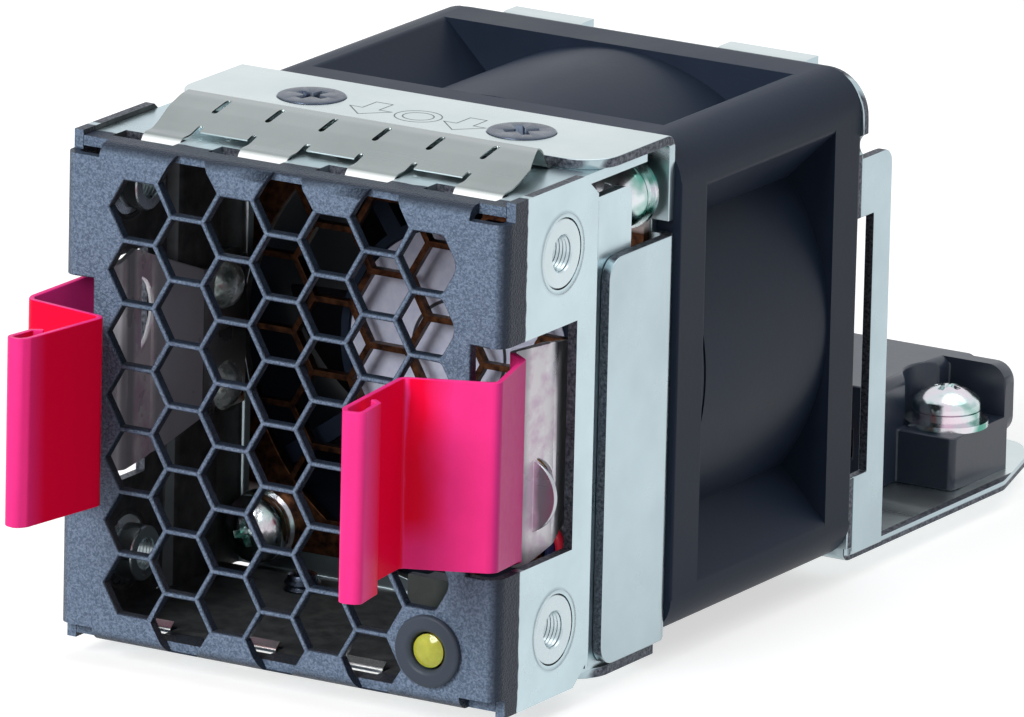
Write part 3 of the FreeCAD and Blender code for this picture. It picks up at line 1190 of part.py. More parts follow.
# ---- wires --------------------------------------------------------------------------------------
def tube(points, radii):
    """Round wire along straight runs joined by tangent arcs."""
    here = points[0]
    pieces = []
    for i in range(1, len(points) - 1):
        start, middle, end = arc_between(points[i - 1], points[i], points[i + 1], radii[i - 1])
        come = (start - here).normalize()
        leave = (points[i + 1] - points[i]).normalize()
        pieces.append(rod(here, come, WIRE_R, (start - here).Length))
        section = Part.Face(Part.Wire(Part.makeCircle(WIRE_R, start, come)))
        turn = come.cross(leave).normalize()
        centre = start + turn.cross(come) * radii[i - 1]
        pieces.append(section.revolve(centre, turn, math.degrees(come.getAngle(leave))))
        here = end
    last = points[-1] - here
    pieces.append(rod(here, last.normalize(), WIRE_R, last.Length))
    wire = pieces[0]
    for piece in pieces[1:]:
        wire = wire.fuse(piece)
    return wire


def tail_run(lane):
    """Last points of a wire: along its lane, across the tail and into its contact."""
    target = contact_places()[lane]
    return [V(lane_x(lane), REAR_PLATE + 2.5 + 0.55 * lane, WIRE_Z),
            V(target, PLUG_FRONT - 2.2, CONTACT_Z),
            V(target, WIRE_END, CONTACT_Z)]


def fan_leads():
    """Wires from the motor base along a strut, under the fan and into the connector."""
    out = polar(1, LEAD_ANGLE)
    across = polar(1, LEAD_ANGLE + 90)
    middle = (FAN_WIRES - 1) / 2
    wires = []
    for lane in range(FAN_WIRES):
        offset = (lane - middle) * WIRE_STEP
        reach = (lane_x(lane) - offset * across.x) / out.x
        corner = out * reach + across * offset + V(0, LEAD_Y, 0)
        start = out * (HUB_R - 2.2) + across * offset + V(0, LEAD_Y, 0)
        points = [start, corner, V(lane_x(lane), LEAD_Y, WIRE_Z)] + tail_run(lane)
        wires.append(tube(points, [2.0, 1.1, 2.0, 2.0]))
    return Part.makeCompound(wires)


def led_leads():
    """Wires from the lamp's board down to the channel and the connector."""
    wires = []
    socket_z = BOARD_Z1 - 1.5
    for k in range(LED_WIRES):
        lane = FAN_WIRES + k
        x = BOARD_X0 + 1.2 + 1.2 * k
        points = [V(x, BOARD_Y + BOARD_T + SOCKET_H, socket_z), V(x, BRACKET_FRONT - 15.3, socket_z),
                  V(lane_x(lane), BRACKET_FRONT - 7.8, WIRE_Z)]
        wires.append(tube(points + tail_run(lane), [3.0, 3.0, 2.0, 2.0]))
    return Part.makeCompound(wires)


# ---- write the parts ----------------------------------------------------------------------------
def build():
    right_latch, right_root = latch_pieces(1)
    left_latch, left_root = latch_pieces(-1)
    strip = emi_strip()
    return {
        "front_cover": front_cover(),
        "clinch_nuts": clinch_nuts(),
        "led_bezel": led_bezel(),
        "status_led": status_led(),
        "led_board": led_board(),
        "emi_strip_top": strip,
        "emi_strip_bottom": mirror_z(strip),
        "latch_right": right_latch,
        "latch_root_right": right_root,
        "latch_left": turned_about_y(left_latch),
        "latch_root_left": turned_about_y(left_root),
        "latch_rivets": latch_rivets(),
        "fan_bracket": fan_bracket(),
        "cover_screws": cover_screws(),
        "fan_guard": fan_guard(),
        "fan_screws": fan_screws(),
        "fan_spring_washers": fan_spring_washers(),
        "fan_flat_washers": fan_flat_washers(),
        "fan_frame": fan_frame(),
        "impeller": impeller(),
        "rotor_yoke": rotor_yoke(),
        "rotor_magnet": rotor_magnet(),
        "rotor_shaft": rotor_shaft(),
        "shaft_clip": shaft_clip(),
        "bearing_inner_races": bearing_races(True),
        "bearing_outer_races": bearing_races(False),
        "stator_core": stator_core(),
        "stator_coils": stator_coils(),
        "motor_board": motor_board(),
        "hub_label": hub_label(),
        "fan_leads": fan_leads(),
        "led_leads": led_leads(),
        "rear_bracket": rear_bracket(),
        "rear_screws": rear_screws(),
        "connector_housing": connector_housing(),
        "connector_contacts": connector_contacts(),
        "connector_screws": connector_screws(),
        "connector_washers": connector_washers(),
        "connector_spring_washers": connector_spring_washers(),
    }


os.makedirs("parts", exist_ok=True)
for name, shape in build().items():
    placed = shape.copy()
    placed.translate(PLACE)
    placed.exportStep("parts/" + name + ".step")
    print(name, len(placed.Solids), round(placed.Volume, 2), placed.isValid())
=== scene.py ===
"""Looks of the server fan module: camera, light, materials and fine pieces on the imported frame."""
import math

import bmesh
import bpy
from mathutils import Matrix, Vector
from mathutils.bvhtree import BVHTree

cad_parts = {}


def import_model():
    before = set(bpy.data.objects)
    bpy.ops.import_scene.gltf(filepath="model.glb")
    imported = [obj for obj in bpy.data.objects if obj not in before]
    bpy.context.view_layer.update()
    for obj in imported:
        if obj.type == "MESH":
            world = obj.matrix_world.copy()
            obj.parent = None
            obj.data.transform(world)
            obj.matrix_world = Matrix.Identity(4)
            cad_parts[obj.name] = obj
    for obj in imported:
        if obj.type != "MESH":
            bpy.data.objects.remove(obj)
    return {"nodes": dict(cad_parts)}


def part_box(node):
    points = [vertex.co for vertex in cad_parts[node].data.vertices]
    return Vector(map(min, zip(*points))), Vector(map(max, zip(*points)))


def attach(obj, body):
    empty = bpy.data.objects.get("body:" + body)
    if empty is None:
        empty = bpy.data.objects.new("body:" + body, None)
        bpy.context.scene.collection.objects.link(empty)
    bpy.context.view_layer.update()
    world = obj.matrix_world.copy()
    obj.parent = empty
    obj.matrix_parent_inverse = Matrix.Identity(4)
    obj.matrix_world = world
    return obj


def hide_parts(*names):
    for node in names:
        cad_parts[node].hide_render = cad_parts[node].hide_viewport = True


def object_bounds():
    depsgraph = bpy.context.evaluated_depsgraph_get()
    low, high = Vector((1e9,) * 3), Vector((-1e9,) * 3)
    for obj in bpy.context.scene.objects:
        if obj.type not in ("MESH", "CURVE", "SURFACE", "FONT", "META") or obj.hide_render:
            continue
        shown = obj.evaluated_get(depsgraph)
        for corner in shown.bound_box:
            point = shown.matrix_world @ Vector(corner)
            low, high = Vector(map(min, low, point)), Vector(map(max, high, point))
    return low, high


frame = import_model()
cad_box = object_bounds()
nodes = frame["nodes"]
scene = bpy.context.scene

# ---- design axes: millimetres from the centre of the cover's front face ---------------------------
cover_lo, cover_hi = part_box("front_cover")
FRONT = cover_lo.y
MID = (cover_lo.z + cover_hi.z) / 2


def at(x, y, z):
    """A point of the design axes, in millimetres, as a point of the row frame in metres."""
    return Vector((x / 1000, y / 1000 + FRONT, z / 1000 + MID))


# sizes that several pieces share, in millimetres along the design axes
HOLE = 16.0                             # fan screws, from the fan's axis both ways
FAN_HEAD_Y = 23.25                      # underside of the fan screws' heads
REAR_HEAD_Y = 54.9                      # underside of the rear screws' heads
NUT_X, NUT_Y, NUT_Z = 19.8, 8.6, 14.9   # middle of a clinch nut's outer face


# ---- camera -----------------------------------------------------------------------------------------
camera = bpy.data.objects.new("camera", bpy.data.cameras.new("camera"))
scene.collection.objects.link(camera)
right = Vector((0.85705, 0.51477, 0.02193))
down = Vector((0.15237, -0.21257, -0.96519))
ahead = Vector((-0.49219, 0.83056, -0.26061))
turn = Matrix((right, -down, -ahead)).transposed().to_4x4()
camera.matrix_world = Matrix.Translation(at(580.3, -944.4, 305.0)) @ turn
camera.data.sensor_width = 36.0
camera.data.lens = 527.9
camera.data.clip_start = 0.05
camera.data.clip_end = 20.0
scene.camera = camera
scene.view_settings.view_transform = "Standard"


# ---- node helpers -----------------------------------------------------------------------------------
class Finish:
    """A material under construction: a Principled shader and short ways to feed it."""

    def __init__(self, name, color, rough, metal=0.0, **sockets):
        self.mat = bpy.data.materials.new(name)
        self.mat.use_nodes = True
        self.tree = self.mat.node_tree
        self.tree.nodes.clear()
        self.shader = self.node("ShaderNodeBsdfPrincipled")
        out = self.node("ShaderNodeOutputMaterial")
        self.link(self.shader.outputs[0], out.inputs[0])
        self.set("Base Color", (*color, 1))
        self.set("Roughness", rough)
        self.set("Metallic", metal)
        for key, value in sockets.items():
            self.set(key.replace("_", " "), value)
        self.place = self.node("ShaderNodeTexCoord").outputs["Object"]
        self.mat.diffuse_color = (*color, 1)

    def node(self, kind):
        return self.tree.nodes.new(kind)

    def link(self, a, b):
        self.tree.links.new(a, b)

    def set(self, key, value):
        self.shader.inputs[key].default_value = value

    def feed(self, socket, value):
        if hasattr(value, "is_output"):
            self.link(value, socket)
        else:
            socket.default_value = value

    def math(self, operation, a, b=0.0):
        node = self.node("ShaderNodeMath")
        node.operation = operation
        self.feed(node.inputs[0], a)
        self.feed(node.inputs[1], b)
        return node.outputs[0]

    def noise(self, scale, detail=3.0, rough=0.55, stretch=None):
        """Noise fixed to the object; stretch scales its three axes."""
        node = self.node("ShaderNodeTexNoise")
        place = self.place
        if stretch:
            mapping = self.node("ShaderNodeMapping")
            mapping.inputs["Scale"].default_value = stretch
            self.link(place, mapping.inputs["Vector"])
            place = mapping.outputs[0]
        self.link(place, node.inputs["Vector"])
        node.inputs["Scale"].default_value = scale
        node.inputs["Detail"].default_value = detail
        node.inputs["Roughness"].default_value = rough
        return node.outputs[0]

    def spread(self, value, low, high, out_low=0.0, out_high=1.0):
        """The value's range from low to high, drawn out to another and held at its ends."""
        node = self.node("ShaderNodeMapRange")
        self.feed(node.inputs["Value"], value)
        node.inputs["From Min"].default_value = low
        node.inputs["From Max"].default_value = high
        node.inputs["To Min"].default_value = out_low
        node.inputs["To Max"].default_value = out_high
        return node.outputs[0]

    def mix(self, amount, a, b):
        """From color a to color b."""
        node = self.node("ShaderNodeMix")
        node.data_type = "RGBA"
        self.feed(node.inputs[0], amount)
        for socket, value in ((node.inputs[6], a), (node.inputs[7], b)):
            self.feed(socket, value if hasattr(value, "is_output") else (*value, 1))
        return node.outputs[2]

    def blend(self, amount, a, b):
        """From number a to number b."""
        node = self.node("ShaderNodeMix")
        self.feed(node.inputs[0], amount)
        self.feed(node.inputs[2], a)
        self.feed(node.inputs[3], b)
        return node.outputs[0]

    def axes(self):
        """Design coordinates in millimetres, as three sockets."""
        split = self.node("ShaderNodeSeparateXYZ")
        self.link(self.place, split.inputs[0])
        x = self.math("MULTIPLY", split.outputs[0], 1000)
        y = self.math("MULTIPLY", self.math("SUBTRACT", split.outputs[1], FRONT), 1000)
        z = self.math("MULTIPLY", self.math("SUBTRACT", split.outputs[2], MID), 1000)
        return x, y, z

    def normal(self):
        """The surface normal's three parts."""
        split = self.node("ShaderNodeSeparateXYZ")
        self.link(self.node("ShaderNodeNewGeometry").outputs["Normal"], split.inputs[0])
        return split.outputs[:3]

    def facing(self):
        """Sizes of the surface normal's three parts."""
        return [self.math("ABSOLUTE", s) for s in self.normal()]

    def length(self, a, b):
        """Length of the flat vector (a, b)."""
        return self.math("SQRT", self.math("ADD", self.math("MULTIPLY", a, a), self.math("MULTIPLY", b, b)))

    def above(self, value, limit, soft=0.05):
        """1 where the value is over the limit, 0 where it is under."""
        return self.spread(value, limit - soft, limit + soft)

    def all_of(self, first, *others):
        for other in others:
            first = self.math("MULTIPLY", first, other)
        return first

    def any_of(self, first, *others):
        for other in others:
            first = self.math("MAXIMUM", first, other)
        return first

    def invert(self, value):
        return self.math("SUBTRACT", 1.0, value)

    def color(self, value):
        self.feed(self.shader.inputs["Base Color"], value)

    def rough(self, value):
        self.feed(self.shader.inputs["Roughness"], value)

    def metal(self, value):
        self.feed(self.shader.inputs["Metallic"], value)

    def bump(self, height, distance, strength=1.0):
        node = self.node("ShaderNodeBump")
        node.inputs["Distance"].default_value = distance
        self.feed(node.inputs["Strength"], strength)
        self.link(height, node.inputs["Height"])
        self.link(node.outputs[0], self.shader.inputs["Normal"])


ZINC = (0.53, 0.655, 0.695)
DULL_ZINC = (0.455, 0.56, 0.60)


def zinc_look(f, color=ZINC, rough=0.30):
    """Satin zinc plate: cloudy tone, faint rolling lines and a fine grain."""
    cloud = f.noise(90, 4, 0.6)
    grain = f.noise(5200, 2, 0.6)
    streak = f.noise(260, 3, 0.6, (0.12, 1.0, 1.0))
    dark = tuple(c * 0.88 for c in color)
    tone = f.mix(f.spread(cloud, 0.35, 0.65), dark, color)
    shine = f.blend(f.spread(streak, 0.3, 0.7), rough - 0.05, rough + 0.07)
    height = f.math("ADD", f.math("MULTIPLY", grain, 0.6), f.math("MULTIPLY", streak, 0.4))
    return tone, shine, height


def sheared(f, tone, shine, edge):
    """Sheared sheet edges: darker, rougher steel."""
    steel = f.mix(f.spread(f.noise(3600, 3, 0.7), 0.38, 0.68), (0.035, 0.04, 0.052), (0.17, 0.18, 0.21))
    return f.mix(edge, tone, steel), f.blend(edge, shine, 0.55)


def shaded_inside(f, tone, shine, inside):
    """Faces inside the housing: painted shade, a dark matt grey of uneven tone where little light reaches."""
    # painted shade for the inside of the housing
    painted_inside_shade = f.mix(f.spread(f.noise(700, 4, 0.6), 0.35, 0.7), (0.030, 0.034, 0.036), (0.075, 0.082, 0.082))
    return f.mix(inside, tone, painted_inside_shade), f.blend(inside, shine, 0.5)


def inward(f, x, z):
    """Faces of the sheet shell that look towards the module's axis."""
    nx, _, nz = f.normal()
    pull = f.math("ADD", f.math("MULTIPLY", x, nx), f.math("MULTIPLY", z, nz))
    return f.above(f.math("MULTIPLY", pull, -1.0), 14.0, 1.0)


def coat_look(f):
    """Slate powder coat: a leathery texture whose crests are paler, partly its grain and partly painted glints;
    faces turned up or sideways carry painted shade.
    """
    peel = f.noise(5600, 2, 0.6)
    lumps = f.noise(3400, 1, 0.5)
    height = f.math("ADD", f.math("MULTIPLY", peel, 0.75), f.math("MULTIPLY", lumps, 0.25))
    # paler crests: the coat's grain and painted glints at once
    tone = f.mix(f.spread(height, 0.40, 0.62), (0.085, 0.124, 0.190), (0.186, 0.250, 0.352))
    nx, _, nz = f.facing()
    # painted shade: faces turned up or sideways are darkened to a near-black slate, as if lit only from the front
    painted_bend_shade = f.spread(f.math("MAXIMUM", nx, nz), 0.30, 0.80)
    return f.mix(f.math("MULTIPLY", painted_bend_shade, 0.92), tone, (0.010, 0.018, 0.035)), height


def cover_finish():
    """The cover: slate coat on its face, zinc plate behind the coat's ragged end, painted shade inside in a dark
    matt grey.
    """
    f = Finish("cover_coat_and_zinc", (0.15, 0.20, 0.28), 0.5, 0.0, Specular_IOR_Level=0.2)
    x, y, z = f.axes()
    nx, ny, nz = f.facing()
    ragged = f.spread(f.noise(700, 2), 0.3, 0.7, -0.1, 0.1)
    coat = f.invert(f.above(f.math("ADD", y, ragged), 3.35, 0.06))
    inside = inward(f, x, z)
    zinc, shine, zinc_height = zinc_look(f)
    side = f.math("ABSOLUTE", x)
    flange_ends = f.all_of(f.above(nz, 0.85), f.above(y, 4.0), f.above(side, 18.95))
    edge = f.any_of(f.all_of(f.above(ny, 0.85), f.above(y, 2.0)), flange_ends)
    zinc, shine = sheared(f, zinc, shine, edge)
    # faint raised ring where the flange is pressed round each clinch nut
    off_y = f.math("SUBTRACT", y, NUT_Y)
    off_z = f.math("SUBTRACT", f.math("ABSOLUTE", z), NUT_Z)
    away = f.length(off_y, off_z)
    ring = f.spread(f.math("ABSOLUTE", f.math("SUBTRACT", away, 3.15)), 0.0, 0.3, 1.0, 0.0)
    ring = f.all_of(f.math("MULTIPLY", ring, ring), f.above(nx, 0.8))
    zinc = f.mix(f.math("MULTIPLY", ring, 0.25), zinc, (0.20, 0.25, 0.27))
    tone, height = coat_look(f)
    # painted shade: the zinc and the coat on faces inside the housing are darkened
    zinc, shine = shaded_inside(f, zinc, shine, inside)
    tone = f.mix(inside, tone, (0.035, 0.042, 0.055))
    f.color(f.mix(coat, zinc, tone))
    f.rough(f.blend(coat, shine, 0.34))
    f.metal(f.all_of(f.invert(coat), f.invert(inside)))
    flat = f.math("ADD", f.math("MULTIPLY", zinc_height, 0.05), f.math("MULTIPLY", ring, 0.5))
    f.bump(f.blend(coat, flat, height), 0.0002, 1.0)
    return f.mat


def zinc_sheet_finish():
    """Both brackets: zinc plate with sheared edges, a painted lighter tone on the top and bottom plates and
    painted shade inside.
    """
    f = Finish("zinc_sheet", DULL_ZINC, 0.3, 1.0)
    x, y, z = f.axes()
    nx, ny, nz = f.facing()
    side = f.math("ABSOLUTE", x)
    top = f.math("ABSOLUTE", z)
    flange_ends = f.all_of(f.above(ny, 0.85), f.invert(f.above(y, 24.5)))
    wing_ends = f.all_of(f.above(nz, 0.85), f.above(side, 18.6), f.above(y, 14.0),
                         f.invert(f.above(top, 20.0)))
    plate_sides = f.all_of(f.above(nx, 0.85), f.above(top, 19.85), f.above(side, 17.0))
    rear_ends = f.all_of(f.above(ny, 0.85), f.above(y, 55.6))
    rear_sides = f.all_of(f.above(f.math("MAXIMUM", nx, nz), 0.85), f.above(y, 54.2),
                          f.invert(f.above(y, 54.85)))
    edge = f.any_of(flange_ends, wing_ends, plate_sides, rear_ends, rear_sides)
    tone, shine, height = zinc_look(f, DULL_ZINC)
    # painted light: plate faces turned up or down are painted a lighter zinc, as if they catch more light
    level = f.all_of(f.above(nz, 0.8, 0.1), f.above(top, 19.0))
    light = f.mix(f.spread(f.noise(90, 4, 0.6), 0.35, 0.65), (0.60, 0.675, 0.68), (0.68, 0.745, 0.745))
    tone = f.mix(level, tone, light)
    tone, shine = sheared(f, tone, shine, edge)
    # painted shade: faces inside the housing are darkened
    inside = f.all_of(inward(f, x, z), f.invert(f.above(y, 26.05, 0.02)))
    tone, shine = shaded_inside(f, tone, shine, inside)
    f.color(tone)
    f.rough(shine)
    f.metal(f.invert(inside))
    f.bump(height, 0.000012, 0.5)
    return f.mat


def steel_finish(name, color, rough, front_highlight=None):
    """Rolled steel; the optional tone is a painted highlight on its bends, which face the front."""
    f = Finish(name, color, rough, 1.0)
    tone, shine, height = zinc_look(f, color, rough)
    if front_highlight:
        # painted highlight on the faces that look forward
        _, ny, _ = f.facing()
        tone = f.mix(f.above(ny, 0.62, 0.14), tone, front_highlight)
    f.color(tone)
    f.rough(shine)
    f.bump(height, 0.000008, 0.4)
    return f.mat


PINK = (1.0, 0.040, 0.280)
# painted shade of the cerise coat, where the leg's shadow and the pink's own bounce fall
SHADE_CRIMSON = (0.92, 0.001, 0.045)
# painted shade of the cerise coat on its outward side faces
SHADE_VIOLET = (0.72, 0.036, 0.26)


def latch_finish(name, near, far, low, leg_front, coat_end):
    """Cerise powder coat, bare stainless from coat_end on.

    Painted shade: it turns crimson on the faces that look forward or back, from near to far out and over the
    height low, and on the leg's side walls behind leg_front, where the leg's shadow falls. Its outward side faces
    get a painted violet shade, and a band of the bare leaf inside gets a painted reflection.
    """
    f = Finish(name, PINK, 0.3, 0.0, Specular_IOR_Level=0.08)
    x, y, z = f.axes()
    nx, ny, _ = f.facing()
    wander = f.spread(f.noise(260, 2, 0.5), 0.3, 0.7, -0.35, 0.35)
    side = f.math("ADD", f.math("ABSOLUTE", x), wander)
    up = f.math("ADD", z, wander)
    # painted shade: the face behind the leg and the leg's side walls
    shadowed_face = f.all_of(f.above(ny, 0.7), f.above(side, near + 0.45, 0.12), f.invert(f.above(side, far, 1.1)),
                      f.above(up, low, 1.2), f.invert(f.above(y, -1.0, 0.3)), f.above(y, -7.5, 0.5))
    leg = f.all_of(f.above(nx, 0.75, 0.1), f.invert(f.above(side, 18.2, 0.2)), f.above(y, leg_front, 1.2))
    painted_shade = f.any_of(shadowed_face, leg)
    # painted shade: the outward side faces of the coat
    outer = f.all_of(f.above(nx, 0.85, 0.12), f.above(side, 18.4, 0.2))
    ragged = f.spread(f.noise(900, 3), 0.3, 0.7, -0.2, 0.2)
    bare = f.above(f.math("ADD", y, ragged), coat_end, 0.1)
    cloud = f.spread(f.noise(400, 4), 0.3, 0.7)
    tone = f.mix(cloud, PINK, tuple(c * 0.93 for c in PINK))
    tone = f.mix(painted_shade, tone, SHADE_CRIMSON)
    tone = f.mix(outer, tone, SHADE_VIOLET)
    steel, shine, height = zinc_look(f, (0.50, 0.52, 0.56), 0.3)
    matt = f.all_of(bare, f.above(f.math("MULTIPLY", side, -1.0), -18.6, 0.2))
    # painted reflection: a pale band on the bare leaf inside, as if it mirrors light
    lane = f.all_of(f.above(y, 7.0, 0.4), f.invert(f.above(y, 10.6, 0.4)))
    painted_glint = f.mix(f.spread(f.noise(380, 3, 0.6), 0.42, 0.58), (0.80, 0.66, 0.80), (0.98, 0.96, 1.0))
    steel = f.mix(f.math("MULTIPLY", matt, lane), steel, painted_glint)
    peel = f.noise(1500, 1, 0.4)
    f.color(f.mix(bare, tone, steel))
    f.rough(f.blend(bare, f.blend(f.spread(peel, 0.3, 0.7), 0.28, 0.34), shine))
    f.metal(f.math("SUBTRACT", bare, f.math("MULTIPLY", matt, 0.8)))
    f.bump(f.blend(bare, peel, f.math("MULTIPLY", height, 0.4)), 0.00001, 0.3)
    return f.mat


def plastic_finish(name, color, rough, grain=1900, depth=0.000015, level=0.2):
    """Moulded black plastic: fine spark-eroded grain, faint flow marks and slightly uneven sheen."""
    f = Finish(name, color, rough, 0.0, Specular_IOR_Level=level)
    fine = f.noise(grain, 3, 0.6)
    flow = f.noise(60, 4, 0.6, (1.0, 0.5, 1.0))
    pale = tuple(c * 1.35 + 0.003 for c in color)
    f.color(f.mix(f.spread(flow, 0.35, 0.7), color, pale))
    f.rough(f.blend(f.spread(flow, 0.3, 0.7), rough - 0.06, rough + 0.08))
    f.bump(fine, depth, 0.6)
    return f.mat


def plated_finish(name, light, tint, last=(0.80, 0.66, 0.74), rough=0.16):
    """Bright zinc plate with the green, blue and rose sheen of its passivation."""
    f = Finish(name, light, rough, 1.0)
    drift = f.noise(420, 2, 0.5)
    node = f.node("ShaderNodeValToRGB")
    stops = node.color_ramp.elements
    stops[0].position = 0.30
    stops[0].color = (*tint, 1)
    stops[1].position = 0.72
    stops[1].color = (*last, 1)
    middle = stops.new(0.5)
    middle.color = (*light, 1)
    f.link(drift, node.inputs[0])
    f.color(node.outputs[0])
    scuff = f.noise(3200, 3, 0.6)
    f.rough(f.spread(scuff, 0.25, 0.75, rough - 0.04, rough + 0.12))
    f.bump(scuff, 0.000006, 0.5)
    return f.mat


def guard_finish():
    """Copper-toned plated sheet, with painted light in rose at its corners and painted shade in brown in the cut
    cells.
    """
    f = Finish("guard_copper", (0.55, 0.33, 0.26), 0.4, 1.0)
    x, _, z = f.axes()
    # painted light on the corners that light reaches, painted shade on the cells behind the grille
    face = f.all_of(f.above(f.math("ABSOLUTE", x), 15.6, 0.3), f.above(f.math("ABSOLUTE", z), 13.0, 0.3))
    cloud = f.noise(160, 4, 0.6)
    rose = f.mix(f.spread(cloud, 0.35, 0.65), (0.88, 0.74, 0.70), (0.95, 0.83, 0.80))
    shade_brown = f.mix(f.spread(f.noise(1300, 3), 0.35, 0.65), (0.022, 0.012, 0.010), (0.13, 0.055, 0.026))
    f.color(f.mix(face, shade_brown, rose))
    f.metal(f.math("SUBTRACT", 1.0, f.math("MULTIPLY", face, 0.85)))
    f.rough(f.blend(f.spread(cloud, 0.3, 0.7), 0.34, 0.46))
    f.bump(f.noise(3000, 2), 0.00001, 0.4)
    return f.mat


def lens_finish():
    """The lamp's yellow-green lens."""
    f = Finish("led_lens", (0.48, 0.49, 0.04), 0.12, 0.0, Transmission_Weight=0.1, IOR=1.5,
               Subsurface_Weight=0.3, Subsurface_Scale=0.0008)
    depth = f.noise(900, 3, 0.6)
    f.color(f.mix(f.spread(depth, 0.3, 0.7), (0.42, 0.43, 0.025), (0.56, 0.57, 0.07)))
    f.bump(depth, 0.00001, 0.3)
    return f.mat


def board_finish():
    """Dark green circuit board with faint patches and its weave."""
    f = Finish("board_green", (0.012, 0.03, 0.022), 0.3, 0.0, Specular_IOR_Level=0.5)
    weave = f.noise(2600, 2, 0.4)
    f.color(f.mix(f.spread(f.noise(700, 1), 0.48, 0.52), (0.004, 0.009, 0.008), (0.007, 0.014, 0.011)))
    f.bump(weave, 0.00001, 0.5)
    return f.mat


def wire_finish(name, color):
    """Insulated wire with a finely grained sheath."""
    f = Finish(name, color, 0.34, 0.0, Specular_IOR_Level=0.5)
    f.color(f.mix(f.spread(f.noise(1100, 3), 0.3, 0.7), color, tuple(c * 0.75 for c in color)))
    f.bump(f.noise(4200, 2), 0.000008, 0.4)
    return f.mat


def label_finish():
    """Silver label film with a plain printed ring."""
    f = Finish("label_film", (0.50, 0.52, 0.64), 0.36, 0.0, Specular_IOR_Level=0.4)
    x, _, z = f.axes()
    away = f.length(x, z)
    ring = f.invert(f.above(f.math("ABSOLUTE", f.math("SUBTRACT", away, 4.2)), 0.14, 0.03))
    fibre = f.noise(900, 4, 0.6)
    film = f.mix(f.spread(fibre, 0.3, 0.7), (0.56, 0.60, 0.78), (0.72, 0.75, 0.90))
    f.color(f.mix(ring, film, (0.03, 0.03, 0.04)))
    f.bump(fibre, 0.000015, 0.35)
    return f.mat


def flat_finish(name, color, rough, metal=0.0):
    """One even tone with a slight cloud and grain."""
    f = Finish(name, color, rough, metal)
    f.color(f.mix(f.spread(f.noise(800, 3), 0.3, 0.7), tuple(c * 0.8 for c in color), color))
    f.bump(f.noise(2600, 2), 0.00001, 0.4)
    return f.mat


def rivet_finish():
    """Burnished rivet heads that catch what light there is inside the housing."""
    f = Finish("rivet_steel", (0.60, 0.70, 0.68), 0.22, 0.45)
    swirl = f.noise(520, 3, 0.6)
    f.color(f.mix(f.spread(swirl, 0.4, 0.62), (0.16, 0.21, 0.20), (0.80, 0.90, 0.88)))
    f.rough(f.spread(swirl, 0.3, 0.7, 0.16, 0.34))
    f.bump(swirl, 0.00008, 0.7)
    return f.mat


zinc = zinc_sheet_finish()
strip_steel = steel_finish("strip_steel", (0.37, 0.405, 0.40), 0.24, front_highlight=(0.93, 0.95, 0.94))
bare_steel = steel_finish("bare_steel", (0.38, 0.40, 0.40), 0.28)
plated = plated_finish("screw_zinc", (0.66, 0.72, 0.74), (0.10, 0.34, 0.27))
dark_plated = plated_finish("screw_dark", (0.085, 0.105, 0.145), (0.050, 0.065, 0.095),
                            (0.13, 0.15, 0.19), 0.26)
fan_plastic = plastic_finish("fan_plastic", (0.012, 0.019, 0.035), 0.42, level=0.1)
impeller_plastic = plastic_finish("impeller_plastic", (0.012, 0.013, 0.018), 0.4)
plug_plastic = plastic_finish("plug_plastic", (0.022, 0.031, 0.052), 0.3, level=0.5)
bezel_black = plastic_finish("bezel_black", (0.035, 0.045, 0.062), 0.4)
nut_steel = steel_finish("nut_steel", (0.58, 0.67, 0.70), 0.27)
inner_steel = steel_finish("inner_steel", (0.45, 0.45, 0.46), 0.3)
board = board_finish()
looks = {
    "front_cover": cover_finish(), "clinch_nuts": nut_steel,
    "led_bezel": bezel_black, "status_led": lens_finish(), "led_board": board,
    "emi_strip_top": strip_steel, "emi_strip_bottom": strip_steel,
    "latch_right": latch_finish("latch_right_coat", near=14.45, far=17.0, low=-4.6, leg_front=-14.2, coat_end=5.2),
    "latch_left": latch_finish("latch_left_coat", near=13.0, far=24.0, low=-9.0, leg_front=-12.0, coat_end=4.2),
    "latch_root_right": bare_steel, "latch_root_left": bare_steel, "latch_rivets": rivet_finish(),
    "fan_bracket": zinc, "rear_bracket": zinc, "cover_screws": dark_plated, "fan_guard": guard_finish(),
    "fan_screws": plated, "fan_spring_washers": plated, "fan_flat_washers": plated,
    "rear_screws": plated, "connector_screws": plated, "connector_washers": plated,
    "connector_spring_washers": plated, "fan_frame": fan_plastic, "impeller": impeller_plastic,
    "rotor_yoke": inner_steel, "rotor_shaft": inner_steel, "shaft_clip": inner_steel,
    "bearing_inner_races": inner_steel, "bearing_outer_races": inner_steel, "stator_core": inner_steel,
    "rotor_magnet": flat_finish("magnet_grey", (0.10, 0.10, 0.11), 0.55),
    "stator_coils": flat_finish("coil_copper", (0.62, 0.27, 0.13), 0.32, 1.0), "motor_board": board,
    "hub_label": label_finish(), "connector_housing": plug_plastic,
    "connector_contacts": flat_finish("contact_metal", (0.83, 0.62, 0.28), 0.25, 1.0),
}

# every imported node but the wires, which paint_wires does
for name, look in looks.items():
    nodes[name].data.materials.clear()
    nodes[name].data.materials.append(look)


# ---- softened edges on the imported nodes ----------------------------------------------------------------
SHARP = 35.0           # degrees between two faces, over which their edge is rounded
SEGMENTS = 3
TRIES = 7              # rounds of giving up crowded edges
STRAY = 0.6            # share of the rounding's width that a corner may stray off the surface
STRAY_ROOM = 0.0004    # metres round a stray corner in which edges stay sharp
FLIP_ROOM = 0.0006     # the same round the corners of a face turned inside out
SPECK = 2e-8           # twice a triangle's area in square metres, under which its normal says nothing


